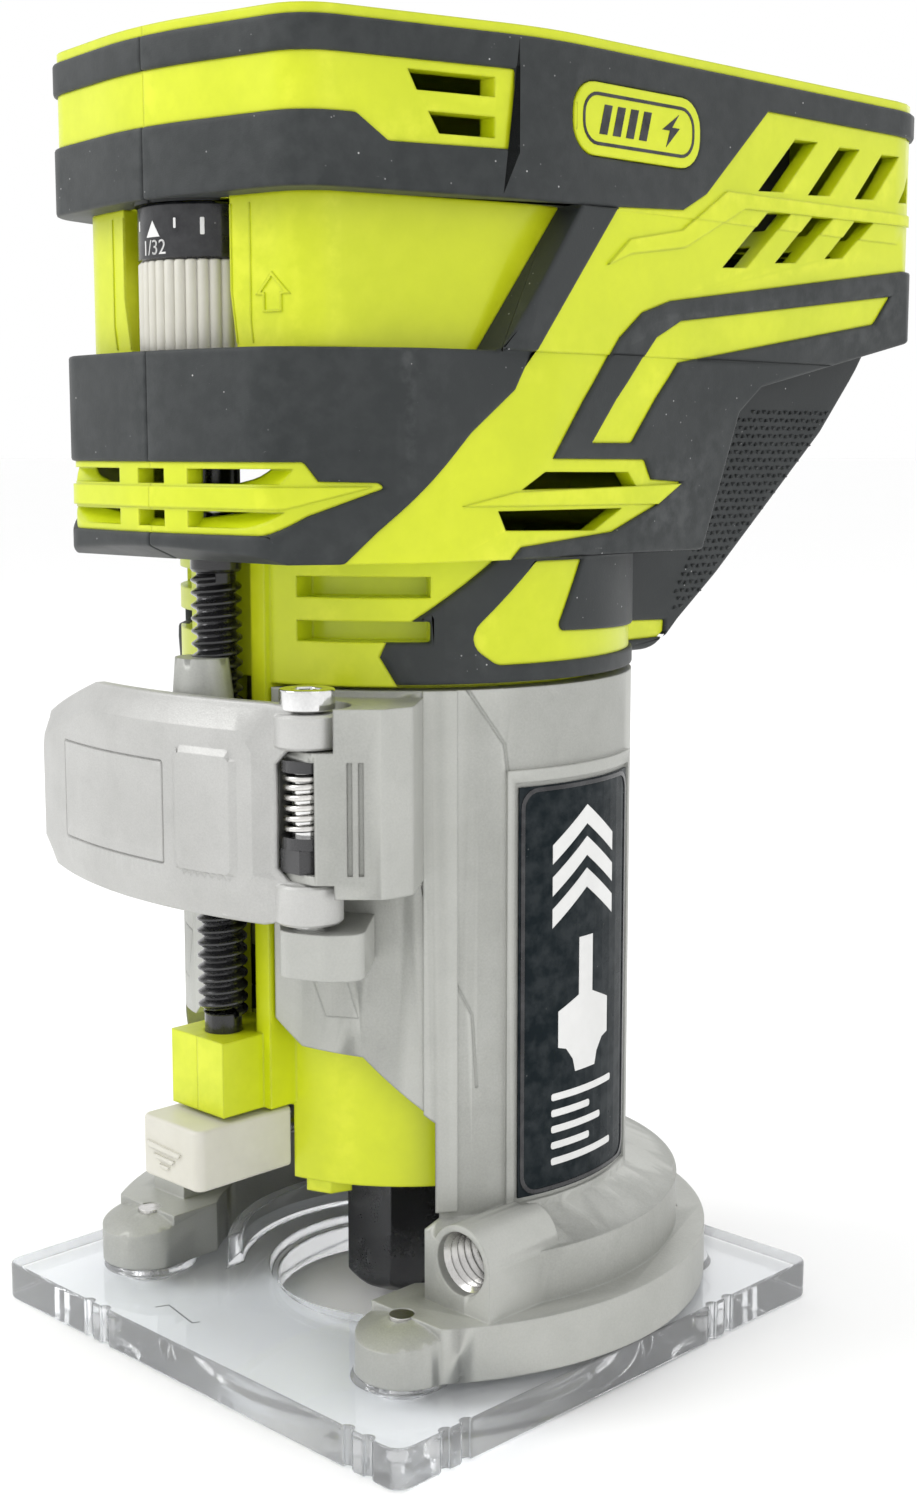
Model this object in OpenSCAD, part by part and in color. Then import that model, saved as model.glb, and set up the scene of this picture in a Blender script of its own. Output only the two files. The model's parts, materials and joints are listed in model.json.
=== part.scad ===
// Compact cordless trim router with a fixed base: a motor unit slides up and down in a split
// cast base on a square clear sub-base, driven by a depth screw with a dial.
// Frame: +Z up, the front with the clamp lever is -Y, origin at the centre of the sub-base's underside.

/* [Sub-base] */
// Side of the square clear sub-base
plate_w = 102; // [96:1:110]
// Thickness of the sub-base
plate_t = 6.6; // [6:0.1:8]
// Diameter of the hole the cutter works through
plate_hole_d = 46; // [40:1:48]

/* [Base casting] */
// Outer radius of the cast barrel
barrel_r = 38.5; // [38.3:0.1:39]
// Radius of the bore that the motor unit slides in
barrel_bore_r = 34.3; // [34.2:0.05:34.6]
// Height of the casting's top above the work
casting_top = 113.4; // [112:0.1:113.5]
// Radius of the foot flange
flange_r = 52.5; // [51:0.5:54]
// Half of the gap at the front that the clamp closes
split_half = 8.8; // [8.7:0.1:10]
// Distance of each foot screw from the middle, along X and along Y
foot_at = 32.5; // [32:0.5:33]

/* [Clamp lever] */
// Radius of curvature of the lever's outer face
lever_r = 100; // [96:1:104]
// Place of the lever's pivot bolt
pivot_at = [24.2, -43.5];
// Radius of the pivot bolt's shank
pivot_r = 2.5; // [2.3:0.1:2.6]

/* [Depth screw] */
// Major diameter of the depth screw
screw_d = 8; // [7.5:0.1:8]
// Lead of the depth screw
screw_lead = 2; // [1.5:0.25:2.5]
// Distance of the screw's axis in front of the spindle
screw_y = -41; // [-41.2:0.1:-40.9]
// Radius of the dial that turns the screw
dial_r = 11; // [10:0.25:11]

/* [Motor unit] */
// Greatest width of the motor head
head_w = 83; // [80:1:86]
// Height of the head's top above the work
head_top = 211.4; // [210:0.5:212]
// Front of the head at its middle
head_front = -54; // [-55:0.5:-53.5]
// Back of the head
head_back = 96; // [90:1:100]
// How far the rubber overmould stands proud of the shells
rubber_proud = 0.6; // [0.3:0.1:0.8]
// Thickness of the overmould that is let into the shells
rubber_sunk = 1.4; // [1:0.1:1.6]

/* [Collet] */
// Collet nut, across its flats
nut_af = 19; // [17:0.5:20]
// Cutter shank, a quarter inch
shank_d = 6.35; // [6:0.05:6.4]

/* [Hidden] */
$fn = 64;
run = 0.05;        // radial clearance of a running fit
gap = 0.4;         // clearance between parts that pass each other
big = 400;         // larger than the part
lime = [0.82, 0.93, 0.12];
charcoal = [0.27, 0.28, 0.29];
cast = [0.72, 0.72, 0.70];
ivory = [0.87, 0.86, 0.80];
black = [0.05, 0.05, 0.06];
steel = [0.75, 0.75, 0.77];

head_half = head_w / 2;
flange_z = [plate_t + 1, 16.5];     // the flange stands on the sub-base's pads
tier_r = 47.5;                      // radius of the casting's second step
tier_top = 25;                      // height of that step
collar_r = [29.5, 32];              // clear collar round the cutter
window_half = 31;                   // half-width of the opening over the cutter
foot_r = 7.3;
foot_screw_r = 2;
bore_at = [39, -26, 24.5];          // mouth of the edge-guide hole
bore_minor_r = 4.25;                // M10 x 1.5 tapping radius
bore_len = 15;
lug_z = [71.5, 78.6];               // lower lug of the clamp
lever_z = [79, 113];
slot_z = [87.5, 104.5];             // window in the clamp that shows the spring
screw_r = screw_d / 2;
screw_z = [59.4, 131];              // threaded length
bracket_z = [45.2, 57.4];           // bracket that carries the screw's lower end
journal_r = 3;
dial_z = [164.2, 186.2];
dial_split_z = 178;                 // the dial's ring starts here
can_r = 31.3;
barrel_out_r = 33.9;                // the motor unit's barrel, in the casting's bore
channel_half = 4.9;                 // channel behind the screw
rib_half = 8.3;                     // outer faces of the two ribs beside it
neck_r = 38;                        // the neck between the barrel and the head
dial_window_half = 12.9;            // half-width of the opening round the dial
barrel_z = [32.6, 114];
band_z = [186.6, 197, 205, 209.9];  // the head's two rubber bands
cone_z = 164.6;                     // foot of the recess behind the dial
bumper_z = 148.2;
lip_z = [133.4, 137.6];
button_z = [34.4, 44.4];
shaft_r = 6;
thread_r = 7.6;                     // the spindle's thread for the collet nut
bearing_in_r = 7.5;
nut_z = [4.4, 27];                  // collet nut
battery_well = [21, 28, 74, 166];   // half width, front, back and floor of the battery's well

// --- outlines ---------------------------------------------------------------------------------
function unit(v) = v / norm(v);
function edge_normal(a, b) = let (d = unit(b - a)) [d.y, -d.x];
// Polygon p, anticlockwise, with every edge moved in by d
function inset(p, d) = [for (i = [0:len(p) - 1])
  let (a = p[(i + len(p) - 1) % len(p)], b = p[i], c = p[(i + 1) % len(p)],
       m = edge_normal(a, b), n = edge_normal(b, c))
  b - d * (m + n) / (1 + m * n)];
// Polygon p with corner i rounded to radius r[i]
function rounded(p, r, steps = 6) = [for (i = [0:len(p) - 1])
  let (a = p[(i + len(p) - 1) % len(p)], b = p[i], c = p[(i + 1) % len(p)],
       u = unit(a - b), v = unit(c - b), half = acos(u * v) / 2, rad = is_list(r) ? r[i] : r)
  each (rad <= 0 ? [b] : let (o = b + unit(u + v) * rad / sin(half),
       s = b + u * rad / tan(half) - o, e = b + v * rad / tan(half) - o,
       a0 = atan2(s.y, s.x), turn0 = atan2(e.y, e.x) - a0,
       turn = turn0 > 180 ? turn0 - 360 : turn0 < -180 ? turn0 + 360 : turn0)
       [for (k = [0:steps]) o + rad * [cos(a0 + turn * k / steps), sin(a0 + turn * k / steps)]])];
function arc(r, a0, a1, steps) = [for (k = [0:steps]) let (a = a0 + (a1 - a0) * k / steps) r * [cos(a), sin(a)]];
// Ring sector between two radii and two angles, the angles counted from the front (-Y) towards +X
function sector(r0, r1, a0, a1, steps = 12) =
  concat(arc(r1, a0 - 90, a1 - 90, steps), arc(r0, a1 - 90, a0 - 90, steps));

// --- shapes used by several parts ---------------------------------------------------------------
module at_pivot(z) translate([pivot_at.x, pivot_at.y, z]) children();
module along_screw(z) translate([0, screw_y, z]) children();
module side_view() rotate([90, 0, 90]) linear_extrude(big, center = true) children();   // (y, z) outline
module front_view() rotate([90, 0, 0]) linear_extrude(big, center = true) children();   // (x, z) outline
module slab(z0, z1) translate([0, 0, z0]) linear_extrude(z1 - z0) children();
module box(a, b) translate(a) cube(b - a);
module tube(r_out, r_in, z0, z1) translate([0, 0, z0]) difference() {
  cylinder(r = r_out, h = z1 - z0);
  translate([0, 0, -1]) cylinder(r = r_in, h = z1 - z0 + 2);
}
module right_half() intersection() { children(); box([0, -big, -big], [big, big, big]); }
module left_half() intersection() { children(); box([-big, -big, -big], [0, big, big]); }
module mirrored() { children(); mirror([1, 0, 0]) children(); }
// One wire of a coil spring: n turns of radius r from z0 to z1, wire radius w
module coil(r, w, z0, z1, n, sides = 6, per_turn = 14) {
  rings = n * per_turn;
  points = [for (k = [0:rings], j = [0:sides - 1])
    let (t = 360 * k / per_turn, q = 360 * j / sides, rho = r + w * cos(q))
    [rho * cos(t), rho * sin(t), z0 + (z1 - z0) * k / rings + w * sin(q)]];
  faces = concat([[for (j = [0:sides - 1]) j]], [[for (j = [sides - 1:-1:0]) rings * sides + j]],
    [for (k = [0:rings - 1], j = [0:sides - 1]) let (a = k * sides, n = (j + 1) % sides) each
      [[a + j, a + sides + j, a + sides + n], [a + j, a + sides + n, a + n]]]);
  polyhedron(points, faces);
}

// --- sub-base ------------------------------------------------------------------------------------
module feet_at(z) for (x = [-1, 1], y = [-1, 1]) translate([x * foot_at, y * foot_at, z]) children();

module sub_base() color([0.85, 0.9, 0.95, 0.4]) difference() {
  union() {
    slab(0, plate_t) polygon(rounded([[-plate_w / 2, -plate_w / 2], [plate_w / 2, -plate_w / 2],
      [plate_w / 2, plate_w / 2], [-plate_w / 2, plate_w / 2]], 3));
    feet_at(plate_t) cylinder(r = foot_r + 0.6, h = 1);
    difference() {
      tube(collar_r[1], collar_r[0], plate_t, plate_t + 5.6);
      box([-20, -40, 0], [20, -15, 20]);             // open at the front
    }
  }
  translate([0, 0, -1]) cylinder(d = plate_hole_d, h = plate_t + 2);
  translate([0, 0, plate_t - 1.6]) cylinder(r = plate_hole_d / 2 + 1.5, h = 2);
  feet_at(-1) cylinder(r = 2.25, h = 12);
  feet_at(-1) cylinder(r = 4.3, h = 4);
}

module sub_base_screws() color(steel) feet_at(0) difference() {
  union() {
    translate([0, 0, 0.6]) cylinder(r1 = 3.6, r2 = 4.1, h = 2.2);
    translate([0, 0, 2.8]) cylinder(r = foot_screw_r, h = 13.6);
  }
  for (a = [0, 90]) rotate([0, 0, a]) cube([4, 0.8, 3], center = true);
}

// --- base casting -----------------------------------------------------------------------------
// Outline of the foot flange: a ring with four round feet, open at the front
module flange_outline() {
  difference() {
    circle(r = flange_r);
    translate([-25.5, -80]) square([51, 60]);
    translate([-60, -60 - foot_at]) square([120, 60]);
  }
}
// A front foot: a round nose whose top is domed down towards its tip
module foot_nose() translate([foot_at + 0.8, -foot_at]) circle(r = foot_r + 0.6);
module foot() {
  slab(flange_z[0], 11.5) foot_nose();
  intersection() {
    slab(flange_z[0], 30) foot_nose();
    translate([foot_at + 0.8, 3.5 - foot_at, flange_z[1] - 22]) sphere(r = 22);
  }
}

// Outline of the pad that carries the pivot bolt, at the level of the spring
ear_outline = rounded([[13, -34], [17.3, -44.4], [22.5, -46.6], [28.5, -46.6], [36, -39], [36.6, -33.6],
  [30, -25.2], [20, -20]], [0, 1.5, 2, 2, 1.5, 2, 0, 0]);

module clamp_ear() difference() {
  slab(84, 112.4) polygon(ear_outline);
  // room for the lever's two knuckles and for the lever's swing
  for (z = [[83, 86.1], [105.9, 113.4]]) {
    at_pivot(z[0]) cylinder(r = 6.6, h = z[1] - z[0]);
    slab(z[0], z[1]) polygon([[0, -34.8], [24.2, -36.8], [24.2, -60], [0, -60]]);
  }
  // pocket that shows the washers, the spring and the nut
  at_pivot(slot_z[0]) cylinder(r = 4.5, h = slot_z[1] - slot_z[0]);
  translate([pivot_at.x - 4.5, -60, slot_z[0]]) cube([9, 60 + pivot_at.y, slot_z[1] - slot_z[0]]);
  at_pivot(80) cylinder(r = pivot_r, h = 40);
  // two grip grooves
  for (x = [32.4, 33.6]) translate([x, -75 + x, 96]) rotate([0, 0, 45]) cube([0.8, 1.4, 17], center = true);
}

// Block in front of the screw that holds the half nut
module nut_boss() intersection() {
  union() {
    slab(84, 108) polygon(rounded([[-17, -33], [-13, -43.6], [-4, -48.4], [5.6, -47.6], [6.6, -38.4],
      [-8.8, -38.4], [-9.6, -33]], [0, 3, 3, 2, 0, 0, 0]));
    translate([0, -43.8, 108]) cylinder(r1 = 5.2, r2 = 4.4, h = 10);
  }
  union() {
    box([-30, -60, 80], [30, -38.4, 120]);
    box([-30, -60, 80], [-8.9, -30, 120]);
  }
}

module guide_boss() {
  translate([bore_at.x, bore_at.y + 16, bore_at.z]) rotate([90, 0, 0]) cylinder(r = 6.2, h = 16);
  box([bore_at.x - 6, bore_at.y, flange_z[1] - 1], [bore_at.x + 6.2, bore_at.y + 16, bore_at.z]);
}

module base_casting() color(cast) difference() {
  union() {
    slab(flange_z[0], flange_z[1]) flange_outline();
    mirrored() foot();
    slab(flange_z[1] - 0.5, tier_top) intersection() { circle(r = tier_r); flange_outline(); }
    translate([0, 0, tier_top]) cylinder(r1 = tier_r - 0.7, r2 = barrel_r, h = 4);
    cylinder(r = barrel_r, h = casting_top);
    guide_boss();
    // raised rims of the two label fields
    mirrored() slab(27, 100.5) polygon(sector(barrel_r - 2, barrel_r + 0.7, 70, 119));
    // reinforcing rail down each side of the window
    mirrored() slab(30, 113.4) polygon(sector(barrel_r - 2, barrel_r + 0.5, 50, 58, 4));
    clamp_ear();
    nut_boss();
    // lower lug of the clamp
    slab(lug_z[0], lug_z[1]) polygon(rounded([[13, -33], [18, -44], [23, -48.3], [30, -45.6], [33.5, -41],
      [24.4, -30.3]], [0, 2, 2.5, 3, 3, 0]));
  }
  translate([0, 0, -1]) cylinder(r = barrel_bore_r, h = 200);
  box([-big, -big, -big], [big, big, flange_z[0]]);
  box([-25.5, -60, 0], [25.5, -14, flange_z[1] + 0.1]);
  // front gap, and the window that opens below it over the cutter
  box([-split_half, -60, 17], [split_half, -30, 84]);
  box([-split_half, -38.4, 84], [split_half, -30, 130]);
  rotate([90, 0, 0]) linear_extrude(60) mirrored() polygon([[-1, flange_z[1]], [window_half, flange_z[1]],
    [window_half, 44.8], [22.5, 55.4], [13.5, 56.4], [split_half - 0.1, 60.5], [-1, 60.5]]);
  // label fields
  mirrored() slab(30, 98.5) polygon(sector(barrel_r + 0.1, barrel_r + 3, 72, 117));
  // bore of the half nut and its seat
  along_screw(60) cylinder(r = screw_r + run, h = 70);
  at_pivot(73) cylinder(r = pivot_r, h = 20);
  along_screw(88) cylinder(r = 6.3, h = 16);
  translate([bore_at.x, bore_at.y + bore_len, bore_at.z]) rotate([90, 0, 0]) cylinder(r = bore_minor_r, h = 40);
  translate([bore_at.x, bore_at.y + 0.8, bore_at.z]) rotate([90, 0, 0])
    cylinder(r1 = bore_minor_r, r2 = 5.2, h = 1);
  // tapped holes over the feet, and the room over the two front ones
  feet_at(0) cylinder(r = foot_screw_r, h = flange_z[1] + 0.5);
  mirrored() box([24, -60, flange_z[1]], [60, bore_at.y - 0.05, tier_top + 5]);
}

module half_nut() color([0.75, 0.6, 0.3]) intersection() {
  along_screw(88) difference() {
    cylinder(r = 6.3, h = 16);
    translate([0, 0, -1]) cylinder(r = screw_r + run, h = 18);
  }
  box([-20, -60, 80], [20, -38.4, 120]);
}

module side_label() slab(30.8, 97.7) polygon(sector(barrel_r + 0.15, barrel_r + 0.5, 73.2, 115.8));
module side_label_right() color(black) side_label();
module side_label_left() color(black) mirror([1, 0, 0]) side_label();

// --- clamp hardware -----------------------------------------------------------------------------
module pivot_bolt() color(steel) at_pivot(0) {
  translate([0, 0, 73]) cylinder(r = pivot_r, h = 39);
  difference() {
    translate([0, 0, 111.8]) cylinder(r = 4.2, h = 3.2);
    translate([0, 0, 113.2]) cylinder(r = 2.3, h = 3, $fn = 6);
  }
}
module ring_at(z, r_out, h) at_pivot(z) difference() {
  cylinder(r = r_out, h = h);
  translate([0, 0, -1]) cylinder(r = pivot_r, h = h + 2);
}
module clamp_nut() color([0.35, 0.35, 0.37]) at_pivot(slot_z[0]) difference() {
  cylinder(r = 4.3, h = 3.6, $fn = 6);
  translate([0, 0, -1]) cylinder(r = pivot_r, h = 6);
}
module clamp_washers() color(black) { ring_at(91.1, 4.1, 1.8); ring_at(102.7, 4.1, 1.8); }
module clamp_spring() color(steel) at_pivot(0) coil(3.35, 0.5, 93.5, 102.1, 5);

// --- clamp lever --------------------------------------------------------------------------------
lever_front = -53.2;                // y of the handle's outer face at its middle
lever_x = [-46, -4, 27.9];          // the handle's left end, middle and right end
knuckle_r = 5.2;
// Band that follows the handle's curve, between two radii and from x0 to x1
module lever_band(r0, r1, x0, x1) translate([lever_x[1], lever_front + lever_r])
  polygon(sector(r0, r1, asin((x0 - lever_x[1]) / lever_r), asin((x1 - lever_x[1]) / lever_r), 24));

module clamp_lever() color(cast) difference() {
  union() {
    intersection() {
      slab(lever_z[0], lever_z[1]) lever_band(lever_r - 3.6, lever_r, lever_x[0], lever_x[2]);
      // outline seen from the front, with cut corners
      front_view() polygon([[-48, 79], [24, 79], [30, 84], [30, 110], [25, 113], [-20.5, 113], [-48, 104.4]]);
    }
    // knuckles, and webs from them to the handle
    for (z = [[79.6, 85.8], [106.2, 111.4]]) {
      at_pivot(z[0]) cylinder(r = knuckle_r, h = z[1] - z[0]);
      slab(z[0], z[1]) polygon([[12, -51.4], [24, -49], [24, -45], [19.6, -45.2], [12, -48]]);
    }
  }
  at_pivot(70) cylinder(r = pivot_r + run, h = 50);
  at_pivot(111.4) cylinder(r = 4.6, h = 5);        // room for the bolt's head
  // cut-out that leaves the spring in view
  at_pivot(85.8) cylinder(r = 7.4, h = 20.4);
  box([22, -70, 85.8], [40, -30, 106.2]);
  // sunk panel on the face
  slab(86.4, 102.8) lever_band(lever_r - 0.3, lever_r + 3, -29.5, 1.2);
}

// --- motor unit's envelope ------------------------------------------------------------------------
// Outline of the head seen from above, moved in by d
function head_plan(d) = rounded(inset([[0, head_front], [30.5, head_front + 5], [head_half, -10],
  [head_half + 0.3, head_back], [-head_half - 0.3, head_back], [-head_half, -10], [-30.5, head_front + 5]], d),
  [70, 9, 60, 14, 14, 60, 9]);
// Outline of the part of the head below the dial
function bumper_plan(d) = rounded(inset([[0, head_front], [24.5, head_front + 3.2], [37, -31], [40, -4],
  [40.4, head_back], [-40.4, head_back], [-40, -4], [-37, -31], [-24.5, head_front + 3.2]], d),
  [90, 9, 20, 60, 14, 14, 60, 20, 9]);
// Side outline of the wide part of the head, (y, z)
function wide_side(d) = inset([[-60, 138.6], [-54, 136.4], [-47, lip_z[0]], [-33, lip_z[0]], [-33, 124],
  [28, 124], [39, 156.5], [45, 161], [head_back + 1, 171.5], [head_back + 1, cone_z + 22], [-60, cone_z + 22]], d);
// Half-width against height
function width_front(d) = inset([[-38.2, 110], [38.2, 110], [38.4, lip_z[0]], [40.3, cone_z], [head_half, 187],
  [head_half, 215], [-head_half, 215], [-head_half, 187], [-40.3, cone_z], [-38.4, lip_z[0]]], d);
// Side outline of the narrow grip under the back of the head, (y, z)
function grip_side(d) = inset(rounded([[5, 116], [36, 116], [52, 128.5], [80, 153.5], [88, 163],
  [head_back - 1, 172], [head_back - 1, 180], [5, 180]], [0, 6, 30, 8, 6, 0, 0, 0], 4), d);
function grip_front(d) = rounded(inset([[-24, 112], [24, 112], [28.5, 165], [28.5, 182], [-28.5, 182],
  [-28.5, 165]], d), [7, 7, 0, 0, 0, 0]);
// The diagonal that ends the recess behind the dial, (y, z)
recess = [[-80, cone_z], [-18, cone_z], [-2.8, band_z[0]], [-80, band_z[0]]];

// Side and front outlines of the tapered face behind the dial
function cone_side(d) = [[head_front + 7.8 + d, cone_z - 2], [big, cone_z - 2], [big, band_z[0] + 2],
  [head_front + 4.4 + d, band_z[0] + 2]];
function cone_front(d) = [[7.6 + d - head_half, cone_z - 2], [head_half - 7.6 - d, cone_z - 2],
  [head_half - 4.2 - d, band_z[0] + 2], [4.2 + d - head_half, band_z[0] + 2]];

module envelope(d = 0) difference() {
  union() {
    slab(band_z[0], head_top - max(d, 0)) polygon(head_plan(d));
    intersection() {
      slab(cone_z, band_z[0]) polygon(head_plan(d));
      side_view() polygon(wide_side(d));
      front_view() polygon(width_front(d));
    }
    intersection() {
      slab(lip_z[0] + max(d, 0), cone_z) polygon(bumper_plan(d));
      side_view() polygon(wide_side(d));
      front_view() polygon(width_front(d));
    }
    translate([0, 0, barrel_z[1]]) cylinder(r = neck_r - d, h = 21);
    intersection() {
      slab(114.5 + max(d, 0), 175) polygon(head_plan(d + 1));
      side_view() polygon(grip_side(d));
      front_view() polygon(grip_front(d));
    }
  }
  // recess round the dial
  difference() {
    side_view() polygon(inset(recess, -d));
    intersection() {
      slab(cone_z - 2, band_z[0] + 2) polygon(head_plan(4.2 + d));
      side_view() polygon(cone_side(d));
      front_view() polygon(cone_front(d));
    }
  }
}

// Rubber areas seen from the side, (y, z): the two bands, the bumper and the diagonal
rubber_front = [[-70, band_z[3]], [-70, band_z[2]], [-15.7, band_z[2]], [-15.7, 193.6], [-36, 193.4],
  [-41, band_z[1]], [-70, band_z[1]], [-70, band_z[0]], [-2.8, band_z[0]], [-18, cone_z], [-70, cone_z],
  [-70, bumper_z], [-46.4, bumper_z], [-44.6, 145.4], [-37, 145.2], [-36.4, 144.4], [-46, 140.4],
  [-50.5, lip_z[1]], [-70, lip_z[1]], [-70, 133], [-42, 133], [-37.6, 137.9], [-23, 152.4], [-14.6, 158.8],
  [-11.2, 164.8], [5.8, 187], [21.7, 187.8], [27.3, 190.6], [43.5, 205.4], [98, 205.4], [98, band_z[3]]];
// the panel and the grip at the back
rubber_rear = [[98, 182.4], [85.3, 181.9], [19.8, 173.5], [13, 171.4], [7.8, 167.3], [0.1, 157.6], [-6.3, 148.6],
  [15.5, 148.4], [17.5, 145.2], [25.2, 144.7], [19, 141], [8.5, 137], [-12.5, 135.2], [-28, 122], [-29, 118.5],
  [-25.6, 110], [98, 110]];
stripe = [[82.2, 177.3], [22.7, 170.5], [16.6, 167.6], [7.5, 157.7], [2.3, 151], [12, 151], [17.6, 158.2],
  [22.8, 163.9], [77.6, 172.2]];
hook = rounded([[-7.8, 132.9], [1.9, 133], [-3.6, 121.9], [39, 120.4], [39, 117.4], [-14.4, 117], [-19.5, 121]],
  [0, 0, 1, 0, 0, 3, 3]);

module rubber_area() side_view() difference() {
  union() { polygon(rubber_front); polygon(rubber_rear); }
  polygon(stripe);
  polygon(hook);
}

// --- vents ------------------------------------------------------------------------------------------
module slot_yz(p) side_view() polygon(p);
module grille_slots() {
  // upper row and lower row of slanting slots, at a constant pitch
  for (k = [0:3]) slot_yz([[41.5 + 14 * k, 192.4 + 0.5 * k], [48.5 + 13.4 * k, 192.8 + 0.5 * k],
    [58 + 12.6 * k, 201.9], [51.5 + 13 * k, 201.7]]);
  for (k = [0:2]) slot_yz([[32.9 + 14.3 * k, 179.5 + 1.6 * k], [39.5 + 13.6 * k, 179.9 + 1.6 * k],
    [51 + 12.8 * k, 189.6 + 0.5 * k], [44.2 + 13 * k, 189.1 + 0.5 * k]]);
}
module vents() {
  mirrored() intersection() {
    grille_slots();
    box([30, 20, 170], [60, 88, 204]);
  }
  mirrored() intersection() {
    union() {
      slot_yz([[-7.8, 146.6], [11.9, 146.4], [14.2, 144], [-12.9, 143.9]]);
      slot_yz([[-17.5, 140.8], [10.8, 140.7], [4.3, 137.3], [-16, 137.8]]);
      slot_yz([[-32.8, 203.6], [-18.9, 203.6], [-18.9, 200.8], [-31.4, 200.8]]);
      slot_yz([[-29.6, 198], [-18.9, 198], [-18.9, 195], [-27.9, 195]]);
    }
    box([27, -40, 130], [60, 20, 208]);
  }
  // louvre across the front, round to both sides
  difference() {
    slot_yz([[-60, 147.2], [-47.6, 147.2], [-49, 145], [-60, 145]]);
    mirrored() box([3.2, -60, 130], [8.4, -40, 150]);
  }
  difference() {
    slot_yz([[-60, 141], [-48.6, 141], [-51.4, 138.6], [-60, 138.6]]);
    mirrored() box([3.2, -60, 130], [8.4, -40, 150]);
  }
  // slots in the neck above the casting
  mirrored() for (z = [127.6, 120.8]) intersection() {
    slab(z, z + 3.2) polygon(sector(33, 45, 20, 52));
    box([8, -45, 110], [40, -20, 140]);
  }
}

// --- housing shells ------------------------------------------------------------------------------
module barrel() difference() {
  union() {
    translate([0, 0, barrel_z[0]]) cylinder(r = barrel_out_r, h = barrel_z[1] - barrel_z[0] + 0.5);
    mirrored() box([channel_half, -38.2, bracket_z[0]], [rib_half, -30, 136]);
    box([-6.5, -46.5, bracket_z[0]], [6.5, -30, bracket_z[1]]);
  }
  translate([0, 0, 20]) cylinder(r = can_r + 0.1, h = 130);
  // open channel behind the screw
  box([-channel_half, -45.2, bracket_z[1]], [channel_half, -20, 134]);
  // floor of the barrel, round the bearing plate
  box([-7.8, -60, 30], [7.8, -20, button_z[1] + 0.3]);
}

module housing() difference() {
  union() {
    difference() {
      envelope(0);
      intersection() {
        envelope(-3);
        rubber_area();
        difference() { box([-99, -99, 100], [99, 130, 215]); envelope(rubber_sunk); }
      }
      // hollow
      difference() {
        envelope(rubber_sunk + 1.6);
        // boss that carries the upper bearing, and the wall behind the dial
        tube(16, 5, 148, 160);
        tube(neck_r, can_r, barrel_z[1], lip_z[0] + 1.6);
        box([-60, -99, 156.5], [60, 30, 159.5]);
        box([-60, -36.5, 159], [60, -34, 188]);
        box([-60, -60, 186.4], [60, -30, 189]);
        mirrored() box([12.2, -60, 155], [14.8, -30, 190]);
        box([-60, 22, 150], [60, 24.4, 215]);
        mirrored() translate([19, 8, 158]) cylinder(r = 2.5, h = 14);    // posts under the board
        at_screws(-99) cylinder(r = 4.8, h = 198);
      }
      // the barrel's bore runs up into the head
      translate([0, 0, 110]) cylinder(r = can_r + 0.1, h = 46);
      vents();
    }
    barrel();
    // lime crossbar of the grille and the bars of the vents, standing a little proud
    intersection() {
      difference() { envelope(-0.5); envelope(1.5); }
      side_view() union() {
        polygon([[32.8, 191.6], [92, 191.9], [92, 190], [37.7, 189.2], [22.6, 182], [9.3, 180.2], [4, 178.2],
          [9, 182.4], [21.6, 184.6]]);
        polygon([[-24.5, 141.6], [-14, 143.6], [25, 144.4], [19.4, 141.2]]);
      }
      mirrored() box([20, -40, 130], [60, 88, 200]);
    }
    // front bar of the louvre
    intersection() {
      difference() { envelope(-0.4); envelope(2); }
      side_view() polygon([[-70, 144.6], [-38, 144.6], [-49, 141.4], [-70, 141.4]]);
    }
  }
  translate([0, 0, 100]) cylinder(r = can_r + 0.1, h = 50);
  // seat of the screw, its collar and its dial
  along_screw(bracket_z[0] - 5) cylinder(r = journal_r + run, h = 20);
  along_screw(130) cylinder(r = screw_r + run, h = 60);
  along_screw(138) cylinder(r = 7.4, h = 11);
  along_screw(dial_z[0] - 0.5) cylinder(r = dial_r + gap, h = dial_z[1] - dial_z[0] + 1);
  box([-dial_window_half, -60, cone_z], [dial_window_half, screw_y, band_z[0]]);
  box([-channel_half, screw_y - screw_r - 0.2, 110], [channel_half, -33, 134]);
  // upper bearing
  translate([0, 0, 150]) cylinder(r = 11, h = 8);
  translate([0, 0, 140]) cylinder(r = shaft_r + 0.6, h = 22);
  // battery well and switch
  slab(battery_well[3], 230) square_well(2);
  box([-10, -31, 190], [10, -9, 230]);
  at_screws(-90) cylinder(r = 1.5, h = 104);
  at_screws(-90) cylinder(r = 3.2, h = 72);
}

// where the screws that join the shells run, (y, z)
screw_places = [[-22, 191], [85, 188], [46, 141]];
module at_screws(x) for (p = screw_places) translate([x, p.x, p.y]) rotate([0, 90, 0]) children();
module square_well(d) translate([-battery_well[0] - d, battery_well[1] - d])
  square([2 * (battery_well[0] + d), battery_well[2] - battery_well[1] + 2 * d]);
module housing_right() color(lime) right_half() housing();
module housing_left() color(lime) left_half() housing();

module overmould() difference() {
  intersection() {
    difference() { envelope(-rubber_proud); envelope(rubber_sunk); }
    rubber_area();
  }
  vents();
  along_screw(dial_z[0] - 0.5) cylinder(r = dial_r + gap, h = dial_z[1] - dial_z[0] + 1);
  along_screw(110) cylinder(r = screw_r + gap, h = 60);
  box([-99, -99, 100], [99, 99, barrel_z[1] + 0.3]);
  mirrored() badge_hole(0.05);
  at_screws(-90) cylinder(r = 3.2, h = 72);
}
module overmould_right() color(charcoal) right_half() overmould();
module overmould_left() color(charcoal) left_half() overmould();

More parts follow.
